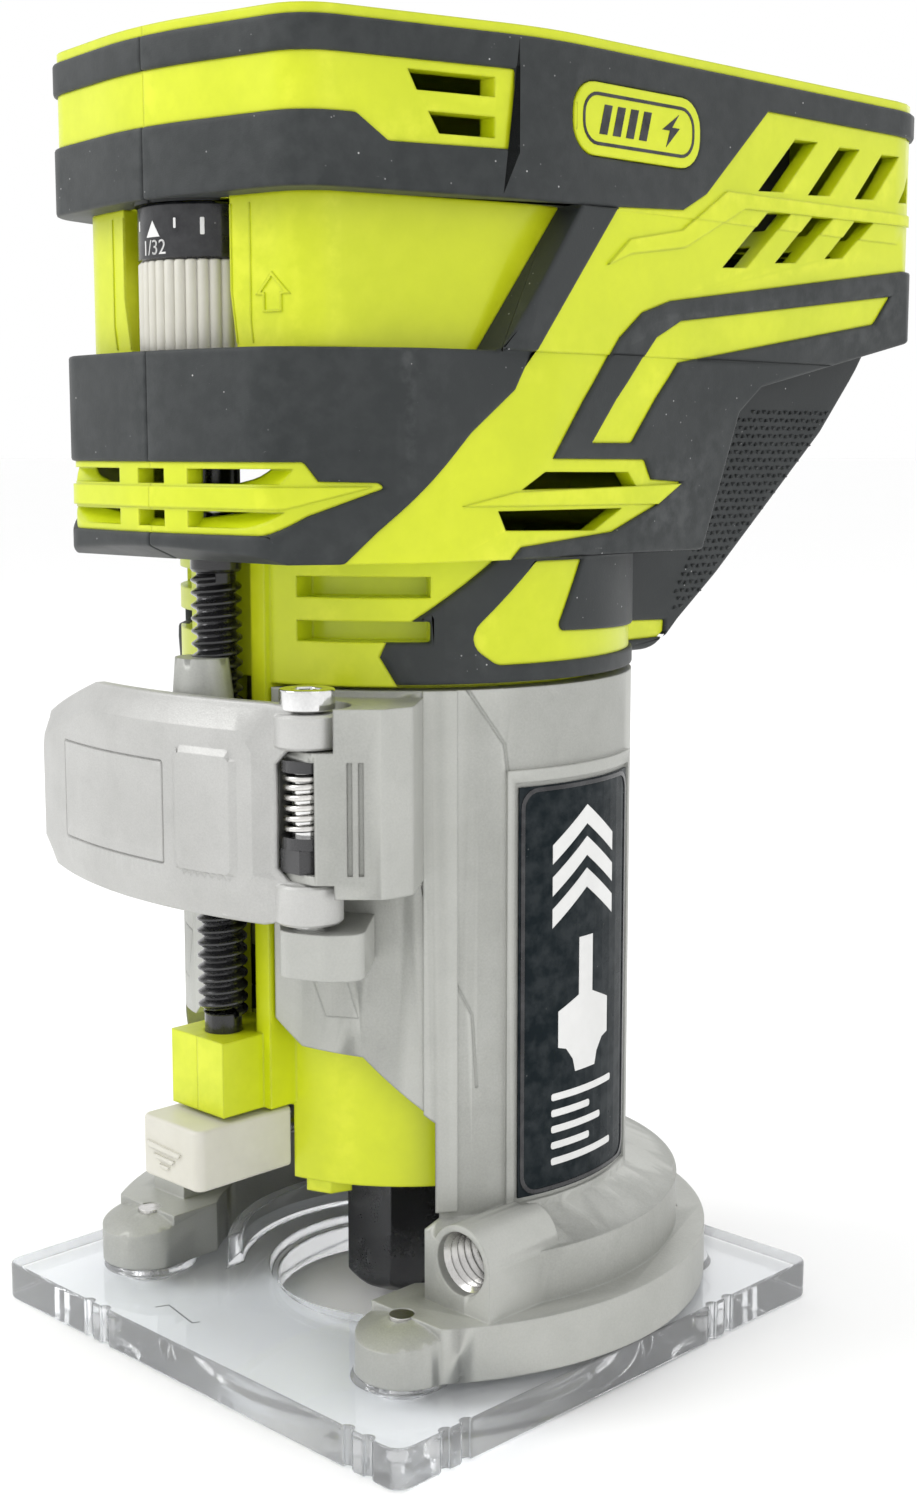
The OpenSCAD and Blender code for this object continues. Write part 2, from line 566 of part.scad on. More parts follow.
badge_at = [10, 199.5];
badge_half = [15, 5.4];
module badge_outline(d) let (x = badge_half.x + d, y = badge_half.y + d) translate(badge_at)
  polygon(rounded([[-x, -y], [x, -y], [x, y], [-x, y]], 4.6 + d));
module badge_hole(d) translate([head_half - 2, 0, 0]) rotate([90, 0, 90]) linear_extrude(6) badge_outline(d);
module badge() intersection() {
  difference() { envelope(-rubber_proud - 0.2); envelope(rubber_sunk); }
  badge_hole(0);
}
module badge_right() color(lime) badge();
module badge_left() color(lime) mirror([1, 0, 0]) badge();

module housing_screws() color(steel) difference() {
  union() {
    at_screws(-18) cylinder(r = 1.5, h = 30);
    at_screws(-20) cylinder(r = 2.8, h = 2);
  }
  for (p = screw_places, a = [0, 90]) translate([-20, p.x, p.y]) rotate([a, 0, 0])
    cube([2, 3.4, 0.7], center = true);
}

// --- motor ---------------------------------------------------------------------------------------
module motor_can() color([0.3, 0.3, 0.32]) tube(can_r, 29.2, 69, 121);
module magnets() color([0.2, 0.2, 0.22]) for (s = [0, 180]) rotate([0, 0, s])
  slab(73, 117) polygon(sector(22.6, 29.2, 35, 145, 10));
module bearing_plate() color([0.7, 0.7, 0.72]) difference() {
  translate([0, 0, 45]) cylinder(r = can_r, h = 13);
  translate([0, 0, 46.5]) cylinder(r = 17.5, h = 20);
  translate([0, 0, 40]) cylinder(r = shaft_r + 4, h = 20);
  for (a = [45:90:315]) rotate([0, 0, a]) translate([24.4, 0, 40]) cylinder(r = 4.4, h = 20);
}
module ball_bearing(r_out, r_in, h) difference() {
  cylinder(r = r_out, h = h);
  translate([0, 0, -1]) cylinder(r = r_in, h = h + 2);
  for (z = [-0.01, h - 0.6]) translate([0, 0, z]) difference() {
    cylinder(r = r_out - (r_out - r_in) * 0.25, h = 0.61);
    translate([0, 0, -1]) cylinder(r = r_in + (r_out - r_in) * 0.25, h = 3);
  }
}
module lower_bearing() color(steel) translate([0, 0, 46.5]) ball_bearing(17.5, bearing_in_r + run, 11);
module upper_bearing() color(steel) translate([0, 0, 150]) ball_bearing(11, 4 + run, 7);
module brush_holders() color(black) for (s = [0, 180]) rotate([0, 0, s]) difference() {
  intersection() {
    box([11, -5.5, 124.5], [40, 5.5, 134.5]);
    cylinder(r = can_r + 0.1, h = 200);
  }
  box([5, -3.6, 126.4], [29.4, 3.6, 132.6]);
}
module carbon_brushes() color([0.12, 0.12, 0.12]) for (s = [0, 180]) rotate([0, 0, s])
  box([9.6, -3.5, 126.5], [19, 3.5, 132.5]);
module brush_spring() translate([0, 0, 129.5]) rotate([0, 90, 0]) coil(1.9, 0.35, 19.4, 29, 4, 5, 10);
module brush_spring_right() color(steel) brush_spring();
module brush_spring_left() color(steel) rotate([0, 0, 180]) brush_spring();

// --- battery port, switch and board ---------------------------------------------------------------
module battery_socket() color(black) difference() {
  slab(battery_well[3], head_top - 0.8) square_well(2);
  slab(battery_well[3] + 2, 230) square_well(0);
  // latch notches
  mirrored() box([battery_well[0] - 1, 44, 196], [battery_well[0] + 3, 58, 202]);
}
module battery_terminals() color([0.8, 0.65, 0.35]) for (x = [-9, 0, 9])
  box([x - 0.5, 31, battery_well[3] + 2], [x + 0.5, 41, battery_well[3] + 18]);
switch_pin_r = 0.95;
module switch_axis(x) translate([x, -20, 206]) rotate([0, 90, 0]) children();
module switch_frame() color(black) {
  difference() {
    box([-10, -31, 196], [10, -9, head_top]);
    box([-7.4, -29.3, 199], [7.4, -10.7, 230]);
  }
  switch_axis(-8) cylinder(r = switch_pin_r, h = 16);
}
module switch_rocker() color([0.15, 0.15, 0.16]) switch_axis(-7) difference() {
  linear_extrude(14) polygon(rounded([[4.2, -5], [4.2, 5], [-4.4, 7.6], [-7.4, 7.6], [-5.6, 0], [-7.4, -7.6],
    [-4.4, -7.6]], [1, 1, 0.6, 0.6, 6, 0.6, 0.6]));
  translate([0, 0, -1]) cylinder(r = switch_pin_r + run, h = 16);
}
module control_board() color([0.1, 0.35, 0.2]) {
  box([-24, -4, 172], [24, 17, 173.6]);
  box([-12, 0, 173.6], [-2, 12, 182]);
  for (x = [6, 16]) translate([x, 7, 173.6]) cylinder(r = 4, h = 9);
}

// --- depth screw and dial -------------------------------------------------------------------------
turns = floor((screw_z[1] - screw_z[0]) / screw_lead);
module depth_screw() color(black) along_screw(0) {
  translate([0, 0, bracket_z[0] + 1.4]) cylinder(r = journal_r, h = 14);
  rotate_extrude() polygon(concat([[0, screw_z[0]], [3, screw_z[0]]],
    [for (k = [0:turns - 1], q = [[3.1, 0.35], [screw_r, 0.85], [screw_r, 1.25], [3.1, 1.75]])
      [q[0], screw_z[0] + k * screw_lead + q[1]]],
    [[3, screw_z[1]], [0, screw_z[1]]]));
  translate([0, 0, screw_z[1]]) cylinder(r = screw_r, h = dial_z[0] - screw_z[1]);
}
module screw_collar() color(steel) along_screw(140.4) difference() {
  cylinder(r = 7, h = 3);
  translate([0, 0, -1]) cylinder(r = screw_r, h = 5);
}
module dial_grip() color(ivory) along_screw(dial_z[0]) difference() {
  cylinder(r = dial_r, h = dial_split_z - dial_z[0]);
  for (a = [0:10:359]) rotate([0, 0, a]) translate([dial_r + 0.35, 0, 1]) cylinder(r = 0.8, h = 20, $fn = 12);
}
module dial_ring() color(black) along_screw(dial_split_z)
  cylinder(r = dial_r - 0.1, h = dial_z[1] - dial_split_z);

// --- spindle lock ----------------------------------------------------------------------------------
module lock_button() color(ivory) difference() {
  intersection() {
    box([-7.4, -52.4, button_z[0]], [7.4, -33, button_z[1]]);
    slab(20, 60) polygon(rounded([[-7.4, -52.4], [7.4, -52.4], [7.4, -30], [-7.4, -30]], [1.6, 1.6, 0, 0]));
  }
  translate([0, -36, 39.4]) rotate([90, 0, 0]) translate([0, 0, -6]) cylinder(r = 2.5, h = 9);
}
module lock_pin() color(steel) translate([0, 0, 39.4]) rotate([90, 0, 0]) {
  translate([0, 0, 12.6]) cylinder(r = 2.5, h = 26.4);
  translate([0, 0, 23]) cylinder(r = 4, h = 1.2);
}
module lock_spring() color(steel) translate([0, 0, 39.4]) rotate([90, 0, 0])
  coil(3.3, 0.35, 13.2, 22.4, 4, 6, 12);

// --- spindle ---------------------------------------------------------------------------------------
module spindle() color(steel) difference() {
  union() {
    translate([0, 0, 20]) cylinder(r = thread_r, h = 11);
    translate([0, 0, 30]) cylinder(r = 9.3, h = 13.5);
    translate([0, 0, 43.5]) cylinder(r = bearing_in_r, h = 14.5);
    translate([0, 0, 58]) cylinder(r = shaft_r, h = 90);
    translate([0, 0, 148]) cylinder(r = 4, h = 10);
  }
  cylinder(r1 = 8.1, r2 = 4, h = 45);
  // notches that the lock pin drops into
  for (s = [-1, 1]) translate([0, s * 10.4, 39.4]) cube([5.6, 6, 5.6], center = true);
}
module armature_core() color([0.45, 0.45, 0.47]) difference() {
  tube(21.6, shaft_r, 76, 114);
  for (a = [0:30:359]) rotate([0, 0, a]) box([18, -1.2, 70], [23, 1.2, 120]);
}
module armature_windings() color([0.7, 0.35, 0.15]) { tube(18, shaft_r, 71, 76); tube(18, shaft_r, 114, 119); }
module commutator() color([0.75, 0.45, 0.25]) difference() {
  tube(9.5, shaft_r, 123, 136);
  for (a = [0:30:359]) rotate([0, 0, a]) box([8.6, -0.3, 124], [12, 0.3, 140]);
}
module cooling_fan() color([0.2, 0.2, 0.2]) {
  tube(28, shaft_r, 60, 61.6);
  for (a = [0:24:359]) rotate([0, 0, a]) box([12, -0.7, 61.5], [27.4, 0.7, 68]);
}
module collet() color(steel) difference() {
  translate([0, 0, 6]) cylinder(r1 = 7.4, r2 = 5.7, h = 20);
  cylinder(d = shank_d, h = 50);
  for (a = [0, 60, 120]) rotate([0, 0, a]) translate([0, 0, 2]) cube([40, 0.6, 40], center = true);
}
module collet_nut() color(black) difference() {
  intersection() {
    translate([0, 0, nut_z[0]]) cylinder(d = nut_af / cos(30), h = nut_z[1] - nut_z[0], $fn = 6);
    translate([0, 0, nut_z[0]]) cylinder(r1 = nut_af / 2 - 0.4, r2 = nut_af / 2 + 22, h = 22);
  }
  translate([0, 0, -1]) cylinder(r = 5.2, h = 8);
  translate([0, 0, 6]) cylinder(r = thread_r, h = 30);
}

// --- drawing ---------------------------------------------------------------------------------------
sub_base();
sub_base_screws();
base_casting();
half_nut();
pivot_bolt();
clamp_nut();
clamp_washers();
clamp_spring();
side_label_right();
side_label_left();
clamp_lever();
housing_right();
housing_left();
overmould_right();
overmould_left();
badge_right();
badge_left();
housing_screws();
motor_can();
magnets();
bearing_plate();
lower_bearing();
upper_bearing();
brush_holders();
carbon_brushes();
brush_spring_right();
brush_spring_left();
battery_socket();
battery_terminals();
switch_frame();
switch_rocker();
control_board();
depth_screw();
screw_collar();
dial_grip();
dial_ring();
lock_button();
lock_pin();
lock_spring();
spindle();
armature_core();
armature_windings();
commutator();
cooling_fan();
collet();
collet_nut();
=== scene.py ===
"""The looks of the compact cordless router: finishes, softened edges, threads, springs, marks and grip.

Lengths are in millimetres, as in the part's source.
Names ending in _M or _m, subsurface radii, the lights and the camera are in metres."""
import json
import math

import bmesh
import bpy
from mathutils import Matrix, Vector
from mathutils.bvhtree import BVHTree
from mathutils.geometry import delaunay_2d_cdt

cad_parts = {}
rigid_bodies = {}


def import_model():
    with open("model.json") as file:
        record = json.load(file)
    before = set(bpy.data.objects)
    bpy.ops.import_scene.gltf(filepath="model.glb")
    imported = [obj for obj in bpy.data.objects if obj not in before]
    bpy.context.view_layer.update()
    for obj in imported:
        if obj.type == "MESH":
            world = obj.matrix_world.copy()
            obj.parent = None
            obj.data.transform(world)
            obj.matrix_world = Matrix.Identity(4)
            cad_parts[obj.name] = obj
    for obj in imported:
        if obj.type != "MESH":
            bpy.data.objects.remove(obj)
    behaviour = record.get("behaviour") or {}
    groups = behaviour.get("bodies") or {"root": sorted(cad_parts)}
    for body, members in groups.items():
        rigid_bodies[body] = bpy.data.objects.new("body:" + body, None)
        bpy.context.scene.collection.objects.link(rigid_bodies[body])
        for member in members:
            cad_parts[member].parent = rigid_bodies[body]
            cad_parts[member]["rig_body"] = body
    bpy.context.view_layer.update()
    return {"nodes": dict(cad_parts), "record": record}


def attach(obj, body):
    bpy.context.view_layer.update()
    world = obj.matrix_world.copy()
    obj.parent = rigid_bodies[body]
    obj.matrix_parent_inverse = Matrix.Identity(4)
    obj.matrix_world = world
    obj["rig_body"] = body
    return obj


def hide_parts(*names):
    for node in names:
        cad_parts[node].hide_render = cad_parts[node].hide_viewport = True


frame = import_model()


MM = 0.001
JOINED_M = 2e-6      # vertices nearer than this are one, in a piece built here
JOINED_CAD_M = 1e-6  # the same in a copy of a CAD node or in a cutting tool
FLAT_TOLERANCE = 1e-5  # the triangulation's, on a drawing plane
nodes = frame["nodes"]
body_of = {n: o["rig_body"] for n, o in nodes.items()}
slot_of = {p["node"]: p["material_slot"] for p in frame["record"]["subparts"]}

# ---------------------------------------------------------------- materials


class Graph:
    """A material's node tree with short calls for the nodes used here. Sizes are in millimetres."""

    def __init__(self, name):
        self.mat = bpy.data.materials.new(name)
        self.mat.use_nodes = True
        self.t = self.mat.node_tree
        self.t.nodes.clear()
        self.out = self.t.nodes.new("ShaderNodeOutputMaterial")
        self.bsdf = self.t.nodes.new("ShaderNodeBsdfPrincipled")
        self.t.links.new(self.bsdf.outputs[0], self.out.inputs[0])
        self.pos = self.t.nodes.new("ShaderNodeTexCoord").outputs["Object"]

    def put(self, socket, value):
        if isinstance(value, bpy.types.NodeSocket):
            self.t.links.new(value, socket)
        else:
            socket.default_value = value

    def set(self, **values):
        for k, v in values.items():
            socket = self.bsdf.inputs[k.replace("_", " ")]
            if isinstance(v, tuple) and len(socket.default_value) == 4:
                v = (*v, 1)
            self.put(socket, v)

    def math(self, op, a, b=0.0, c=0.0, clamp=False):
        n = self.t.nodes.new("ShaderNodeMath")
        n.operation = op
        n.use_clamp = clamp
        for i, v in enumerate((a, b, c)):
            self.put(n.inputs[i], v)
        return n.outputs[0]

    def stretch(self, x=1.0, y=1.0, z=1.0):
        n = self.t.nodes.new("ShaderNodeMapping")
        n.inputs["Scale"].default_value = (x, y, z)
        self.t.links.new(self.pos, n.inputs["Vector"])
        return n.outputs[0]

    def noise(self, size, detail=3.0, rough=0.55, at=None, w=0.0):
        n = self.t.nodes.new("ShaderNodeTexNoise")
        n.noise_dimensions = "4D"
        n.inputs["W"].default_value = w
        n.inputs["Scale"].default_value = 1 / (size * MM)
        n.inputs["Detail"].default_value = detail
        n.inputs["Roughness"].default_value = rough
        self.t.links.new(at or self.pos, n.inputs["Vector"])
        return n.outputs["Fac"]

    def cells(self, size, feature="F1", at=None):
        n = self.t.nodes.new("ShaderNodeTexVoronoi")
        n.feature = feature
        n.inputs["Scale"].default_value = 1 / (size * MM)
        self.t.links.new(at or self.pos, n.inputs["Vector"])
        return n.outputs["Distance"]

    def span(self, fac, lo, hi, a=0.0, b=1.0):
        """fac from lo..hi mapped to a..b, clamped."""
        n = self.t.nodes.new("ShaderNodeMapRange")
        for name, v in (("Value", fac), ("From Min", lo), ("From Max", hi), ("To Min", a), ("To Max", b)):
            self.put(n.inputs[name], v)
        return n.outputs[0]

    def mix(self, fac, a, b):
        n = self.t.nodes.new("ShaderNodeMix")
        n.data_type = "RGBA"
        for i, v in ((0, fac), (6, a), (7, b)):
            self.put(n.inputs[i], (*v, 1) if isinstance(v, tuple) and len(v) == 3 else v)
        return n.outputs[2]

    def edges(self, lo=0.52, hi=0.6):
        n = self.t.nodes.new("ShaderNodeNewGeometry")
        return self.span(n.outputs["Pointiness"], lo, hi)

    def bump(self, height, depth, strength=1.0, normal=None):
        n = self.t.nodes.new("ShaderNodeBump")
        n.inputs["Distance"].default_value = depth * MM
        n.inputs["Strength"].default_value = strength
        self.put(n.inputs["Height"], height)
        if normal is not None:
            self.put(n.inputs["Normal"], normal)
        return n.outputs[0]

    def round_edges(self, radius):
        n = self.t.nodes.new("ShaderNodeBevel")
        n.samples = 4
        n.inputs["Radius"].default_value = radius * MM
        return n.outputs[0]


DUST = (0.6, 0.6, 0.6)


def moulded(name, base, shade, rough=(0.32, 0.46), grain=0.28, depth=0.02, edge=0.25, soft=0.25, specks=0.0,
            **extra):
    """Moulded plastic or rubber: colour drift, fine grain, handled patches, pale rubbed edges and dust."""
    g = Graph(name)
    drift = g.span(g.noise(22, 2, w=1.3), 0.35, 0.65)
    colour = g.mix(drift, base, shade)
    fine = g.span(g.noise(2.2, 4, 0.6, w=4.1), 0.3, 0.7, 0.0, 0.22)
    colour = g.mix(fine, colour, tuple(c * 0.86 for c in shade))
    worn = g.math("MULTIPLY", g.edges(), g.span(g.noise(3, 4), 0.4, 0.62))
    colour = g.mix(g.math("MULTIPLY", worn, edge), colour, tuple(min(1, c * 1.5 + 0.06) for c in base))
    if specks:
        dot = g.span(g.cells(1.9), 0.085, 0.05)
        sparse = g.span(g.noise(9, 2, w=7.7), 0.53, 0.62)
        colour = g.mix(g.math("MULTIPLY", g.math("MULTIPLY", dot, sparse), specks), colour, DUST)
        scuff = g.span(g.noise(0.9, 5, 0.75, at=g.stretch(1, 0.35, 1.6), w=2.2), 0.66, 0.74)
        colour = g.mix(g.math("MULTIPLY", g.math("MULTIPLY", scuff, sparse), specks * 0.5), colour, DUST)
    handled = g.span(g.noise(14, 3, w=9.1), 0.3, 0.7)
    patches = g.math("ADD", handled, g.math("MULTIPLY", g.noise(1.1, 3), 0.4))
    roughness = g.span(patches, 0.0, 1.4, *rough)
    grain_height = g.math("ADD", g.noise(grain, 2, 0.5), g.math("MULTIPLY", g.noise(grain * 3, 2), 0.6))
    g.set(Base_Color=colour, Roughness=roughness,
          Normal=g.bump(grain_height, depth, normal=g.round_edges(soft)), **extra)
    return g.mat


def metal(name, base, shade, rough=(0.2, 0.35), metallic=1.0, grain=0.3, depth=0.01, brush=None, pits=0.0,
          edge=0.4, soft=0.2, grime=0.35, **extra):
    """Metal: brushed, blasted or plated, with patches of grime and bright edges."""
    g = Graph(name)
    at = g.stretch(*brush) if brush else g.pos
    colour = g.mix(g.span(g.noise(16, 3, w=0.4), 0.35, 0.68), base, shade)
    fine = g.noise(grain, 3, 0.6, at=at)
    colour = g.mix(g.span(fine, 0.35, 0.65, 0, 0.25), colour, tuple(c * 0.72 for c in shade))
    hollow = g.span(g.noise(5, 4, 0.65, w=3.3), 0.5, 0.72, 0, grime)
    colour = g.mix(hollow, colour, tuple(c * 0.6 for c in shade))
    colour = g.mix(g.math("MULTIPLY", g.edges(), edge), colour, tuple(min(1, c * 1.4 + 0.04) for c in base))
    height = fine
    if pits:
        height = g.math("ADD", fine, g.math("MULTIPLY", g.noise(grain * 2.4, 2, w=5.0), pits))
    roughness = g.span(g.math("ADD", g.noise(7, 3, w=6.1), g.math("MULTIPLY", fine, 0.5)), 0.45, 1.05, *rough)
    g.set(Base_Color=colour, Roughness=roughness, Metallic=metallic,
          Normal=g.bump(height, depth, normal=g.round_edges(soft)), **extra)
    return g.mat


def clear(name):
    """Clear moulded polycarbonate, faintly cool, with flow marks; its shadow stays light."""
    g = Graph(name)
    flow = g.noise(18, 3, w=2.0)
    g.set(Base_Color=g.mix(g.span(flow, 0.3, 0.7), (0.985, 0.992, 1.0), (0.955, 0.97, 0.99)),
          Roughness=g.span(g.noise(3, 4), 0.35, 0.7, 0.02, 0.09),
          Transmission_Weight=0.86, IOR=1.42,
          Normal=g.bump(g.math("ADD", g.noise(9, 2), g.math("MULTIPLY", g.noise(1.3, 2), 0.05)), 0.08, 0.3))
    see = g.t.nodes.new("ShaderNodeBsdfTransparent")
    see.inputs[0].default_value = (0.82, 0.85, 0.88, 1)
    path = g.t.nodes.new("ShaderNodeLightPath")
    mix = g.t.nodes.new("ShaderNodeMixShader")
    g.t.links.new(path.outputs["Is Shadow Ray"], mix.inputs[0])
    g.t.links.new(g.bsdf.outputs[0], mix.inputs[1])
    g.t.links.new(see.outputs[0], mix.inputs[2])
    g.t.links.new(mix.outputs[0], g.out.inputs[0])
    return g.mat


LIME = (0.66, 0.735, 0.007)
LIME_DARK = (0.585, 0.665, 0.005)
M = {
    "clear_plate": clear("clear_plate"),
    "cast_alloy": metal("cast_alloy", (0.43, 0.435, 0.41), (0.375, 0.38, 0.355), (0.44, 0.56), 0.5, 0.34,
                        0.045, pits=0.8, edge=0.35, soft=0.45, grime=0.16),
    "lime_plastic": moulded("lime_plastic", LIME, LIME_DARK, (0.28, 0.40), 0.3, 0.012, 0.2, 0.6,
                            Subsurface_Weight=0.06, Subsurface_Radius=(0.004, 0.004, 0.001),
                            Coat_Weight=0.08),
    "charcoal_rubber": moulded("charcoal_rubber", (0.027, 0.031, 0.032), (0.02, 0.024, 0.025), (0.46, 0.6),
                               0.22, 0.03, 0.4, 0.9, specks=0.8,
                               Sheen_Weight=0.04, Sheen_Roughness=0.5, Specular_IOR_Level=0.36),
    "black_label": moulded("black_label", (0.006, 0.011, 0.014), (0.009, 0.014, 0.017), (0.2, 0.34), 0.5,
                           0.006, 0.3, 0.15, specks=0.2, Specular_IOR_Level=0.06),
    "chrome_steel": metal("chrome_steel", (0.83, 0.83, 0.82), (0.7, 0.7, 0.7), (0.06, 0.16), 1, 0.5, 0.006,
                          edge=0.2, soft=0.25),
    "bright_steel": metal("bright_steel", (0.68, 0.67, 0.65), (0.55, 0.54, 0.53), (0.18, 0.32), 1, 0.22, 0.01,
                          (1, 1, 0.15)),
    "black_steel": metal("black_steel", (0.018, 0.018, 0.02), (0.012, 0.012, 0.013), (0.18, 0.34), 0.4, 0.4,
                         0.012, edge=0.5, Coat_Weight=0.5, Coat_Roughness=0.15),
    "bronze": metal("bronze", (0.62, 0.4, 0.15), (0.5, 0.31, 0.11), (0.22, 0.36), 1, 0.2, 0.01, (1, 1, 0.2)),
    "motor_steel": metal("motor_steel", (0.2, 0.2, 0.21), (0.14, 0.14, 0.15), (0.3, 0.5), 0.9, 0.3, 0.02),
    "magnet": metal("magnet", (0.05, 0.05, 0.055), (0.035, 0.035, 0.04), (0.5, 0.65), 0.3, 0.3, 0.03),
    "bearing_alloy": metal("bearing_alloy", (0.6, 0.6, 0.59), (0.5, 0.5, 0.49), (0.25, 0.4), 1, 0.2, 0.015),
    "copper": metal("copper", (0.75, 0.32, 0.14), (0.6, 0.22, 0.09), (0.2, 0.34), 1, 0.35, 0.05, (1, 1, 4)),
    "carbon": moulded("carbon", (0.02, 0.02, 0.022), (0.03, 0.03, 0.03), (0.4, 0.6), 0.2, 0.03),
    "black_plastic": moulded("black_plastic", (0.014, 0.014, 0.016), (0.022, 0.022, 0.024), (0.36, 0.52),
                             0.3, 0.02, 0.3, 0.3),
    "board": moulded("board", (0.012, 0.11, 0.04), (0.01, 0.08, 0.03), (0.3, 0.45), 0.6, 0.02),
    "ivory_plastic": moulded("ivory_plastic", (0.66, 0.645, 0.575), (0.6, 0.585, 0.51), (0.38, 0.5), 0.3,
                             0.014, 0.1, 0.3,
                             Subsurface_Weight=0.12, Subsurface_Radius=(0.004, 0.004, 0.003)),
    "dial_black": moulded("dial_black", (0.008, 0.009, 0.011), (0.014, 0.014, 0.017), (0.14, 0.28), 0.5,
                          0.008, 0.5, 0.2, specks=0.5),
}
LEVER_ALLOY = metal("lever_alloy", (0.52, 0.52, 0.505), (0.455, 0.455, 0.44), (0.38, 0.5), 0.45, 0.3, 0.04,
                    pits=0.8, edge=0.3, soft=0.3, grime=0.14)
WHITE = moulded("print_white", (0.8, 0.8, 0.79), (0.72, 0.72, 0.71), (0.4, 0.5), 0.2, 0.01, 0.1, 0.1)

for name, o in nodes.items():
    o.data.materials.clear()
    o.data.materials.append(M[slot_of[name]])

# ---------------------------------------------------------------- mesh helpers (coordinates in millimetres)


def piece(name, verts, faces, slot, body, angle=35, mat=None, replaces=()):
    me = bpy.data.meshes.new(name)
    me.from_pydata([tuple(c * MM for c in v) for v in verts], [], faces)
    o = bpy.data.objects.new(name, me)
    bpy.context.scene.collection.objects.link(o)
    return finish_piece(o, slot, body, angle, mat, replaces)


def finish_piece(o, slot, body, angle=35, mat=None, replaces=()):
    bm = bmesh.new()
    bm.from_mesh(o.data)
    bmesh.ops.remove_doubles(bm, verts=bm.verts, dist=JOINED_M)
    bmesh.ops.recalc_face_normals(bm, faces=bm.faces)
    for f in bm.faces:
        f.smooth = True
    for e in bm.edges:
        e.smooth = len(e.link_faces) == 2 and e.calc_face_angle(0) < math.radians(angle)
    bm.to_mesh(o.data)
    bm.free()
    o.data.materials.clear()
    o.data.materials.append(mat or M[slot])
    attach(o, body)
    if replaces:
        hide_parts(*replaces)
    return o


def merged(parts):
    """Several (verts, faces) as one."""
    verts, faces = [], []
    for v, f in parts:
        n = len(verts)
        verts += [tuple(p) for p in v]
        faces += [tuple(i + n for i in q) for q in f]
    return verts, faces


def lathe(profile, n=96, at=(0, 0), closed=False, wobble=None):
    """(verts, faces) of a profile [(r, z), ...] turned about a vertical axis through at."""
    verts = []
    for k in range(n):
        a = 2 * math.pi * k / n
        for r, z in profile:
            if wobble:
                r = wobble(r, a)
            verts.append((at[0] + r * math.cos(a), at[1] + r * math.sin(a), z))
    m = len(profile)
    last = m if closed else m - 1
    faces = [(k * m + j, (k + 1) % n * m + j, (k + 1) % n * m + (j + 1) % m, k * m + (j + 1) % m)
             for k in range(n) for j in range(last)]
    return verts, faces


def tube(path, r, sides=10):
    """(verts, faces) of a round bar along a path of points."""
    pts = [Vector(p) for p in path]
    n = len(pts)
    verts, faces = [], []
    side = None
    for i, p in enumerate(pts):
        d = (pts[min(i + 1, n - 1)] - pts[max(i - 1, 0)]).normalized()
        if side is None:
            side = d.orthogonal().normalized()
        side = (side - d * side.dot(d)).normalized()
        up = d.cross(side)
        for j in range(sides):
            a = 2 * math.pi * j / sides
            verts.append(p + r * (math.cos(a) * side + math.sin(a) * up))
    for i in range(n - 1):
        a, b = i * sides, (i + 1) * sides
        faces += [(a + j, a + (j + 1) % sides, b + (j + 1) % sides, b + j) for j in range(sides)]
    faces += [tuple(range(sides)), tuple(range((n - 1) * sides, n * sides))[::-1]]
    return [tuple(v) for v in verts], faces


def thread(profile, pitch, z0, z1, at, steps=30):
    """(verts, faces) of a screw surface: profile [(r, share of a pitch)] wound round a vertical axis."""
    verts, faces = [], []
    total = int((z1 - z0) / pitch * steps)
    m = len(profile)
    for k in range(total + 1):
        a = 2 * math.pi * k / steps
        for r, s in profile:
            verts.append((at[0] + r * math.cos(a), at[1] + r * math.sin(a), z0 + pitch * (k / steps + s)))
    for k in range(total):
        faces += [(k * m + j, (k + 1) * m + j, (k + 1) * m + j + 1, k * m + j + 1) for j in range(m - 1)]
    return verts, faces


def prism(outline, z0, z1):
    """(verts, faces) of an (x, y) outline from z0 to z1."""
    n = len(outline)
    verts = [(x, y, z) for z in (z0, z1) for x, y in outline]
    faces = [tuple(range(n))[::-1], tuple(range(n, 2 * n))]
    faces += [(i, (i + 1) % n, n + (i + 1) % n, n + i) for i in range(n)]
    return verts, faces


def surface_of(*names):
    """Ray target made from CAD nodes, in millimetres."""
    verts, faces = [], []
    for n in names:
        k = len(verts)
        verts += [v.co / MM for v in nodes[n].data.vertices]
        faces += [[k + i for i in p.vertices] for p in nodes[n].data.polygons]
    return BVHTree.FromPolygons(verts, faces)


class Flat:
    """A drawing plane: origin, directions of u and v, and the way its marks are thrown onto a surface."""

    def __init__(self, origin, u, v, throw, target, start=60):
        self.o = Vector(origin)
        self.u, self.v, self.d = (Vector(w).normalized() for w in (u, v, throw))
        self.target, self.start = target, start

    def hit(self, p, lift=0.0):
        """The surface point under (u, v), lifted along its normal."""
        s = self.o + self.u * p[0] + self.v * p[1]
        loc, nor, _, _ = self.target.ray_cast(s - self.d * self.start, self.d)
        if loc is None:
            return None, None
        if nor.dot(self.d) > 0:
            nor = -nor
        return loc + nor * lift, nor


class Round:
    """A drawing surface on an upright cylinder: u runs round it in millimetres, v is the height."""

    def __init__(self, r, at=(0, 0), angle=0.0):
        self.r, self.at, self.angle = r, at, math.radians(angle)

    def hit(self, p, lift=0.0):
        a = self.angle + p[0] / self.r
        n = Vector((math.cos(a), math.sin(a), 0))
        return Vector((*self.at, p[1])) + n * (self.r + lift), n


def inside(p, loop):
    """Whether (u, v) point p lies in a closed outline."""
    x, y = p[0], p[1]
    odd = False
    for (x0, y0), (x1, y1) in zip(loop, loop[1:] + loop[:1]):
        if (y0 > y) != (y1 > y) and x < (x1 - x0) * (y - y0) / (y1 - y0) + x0:
            odd = not odd
    return odd


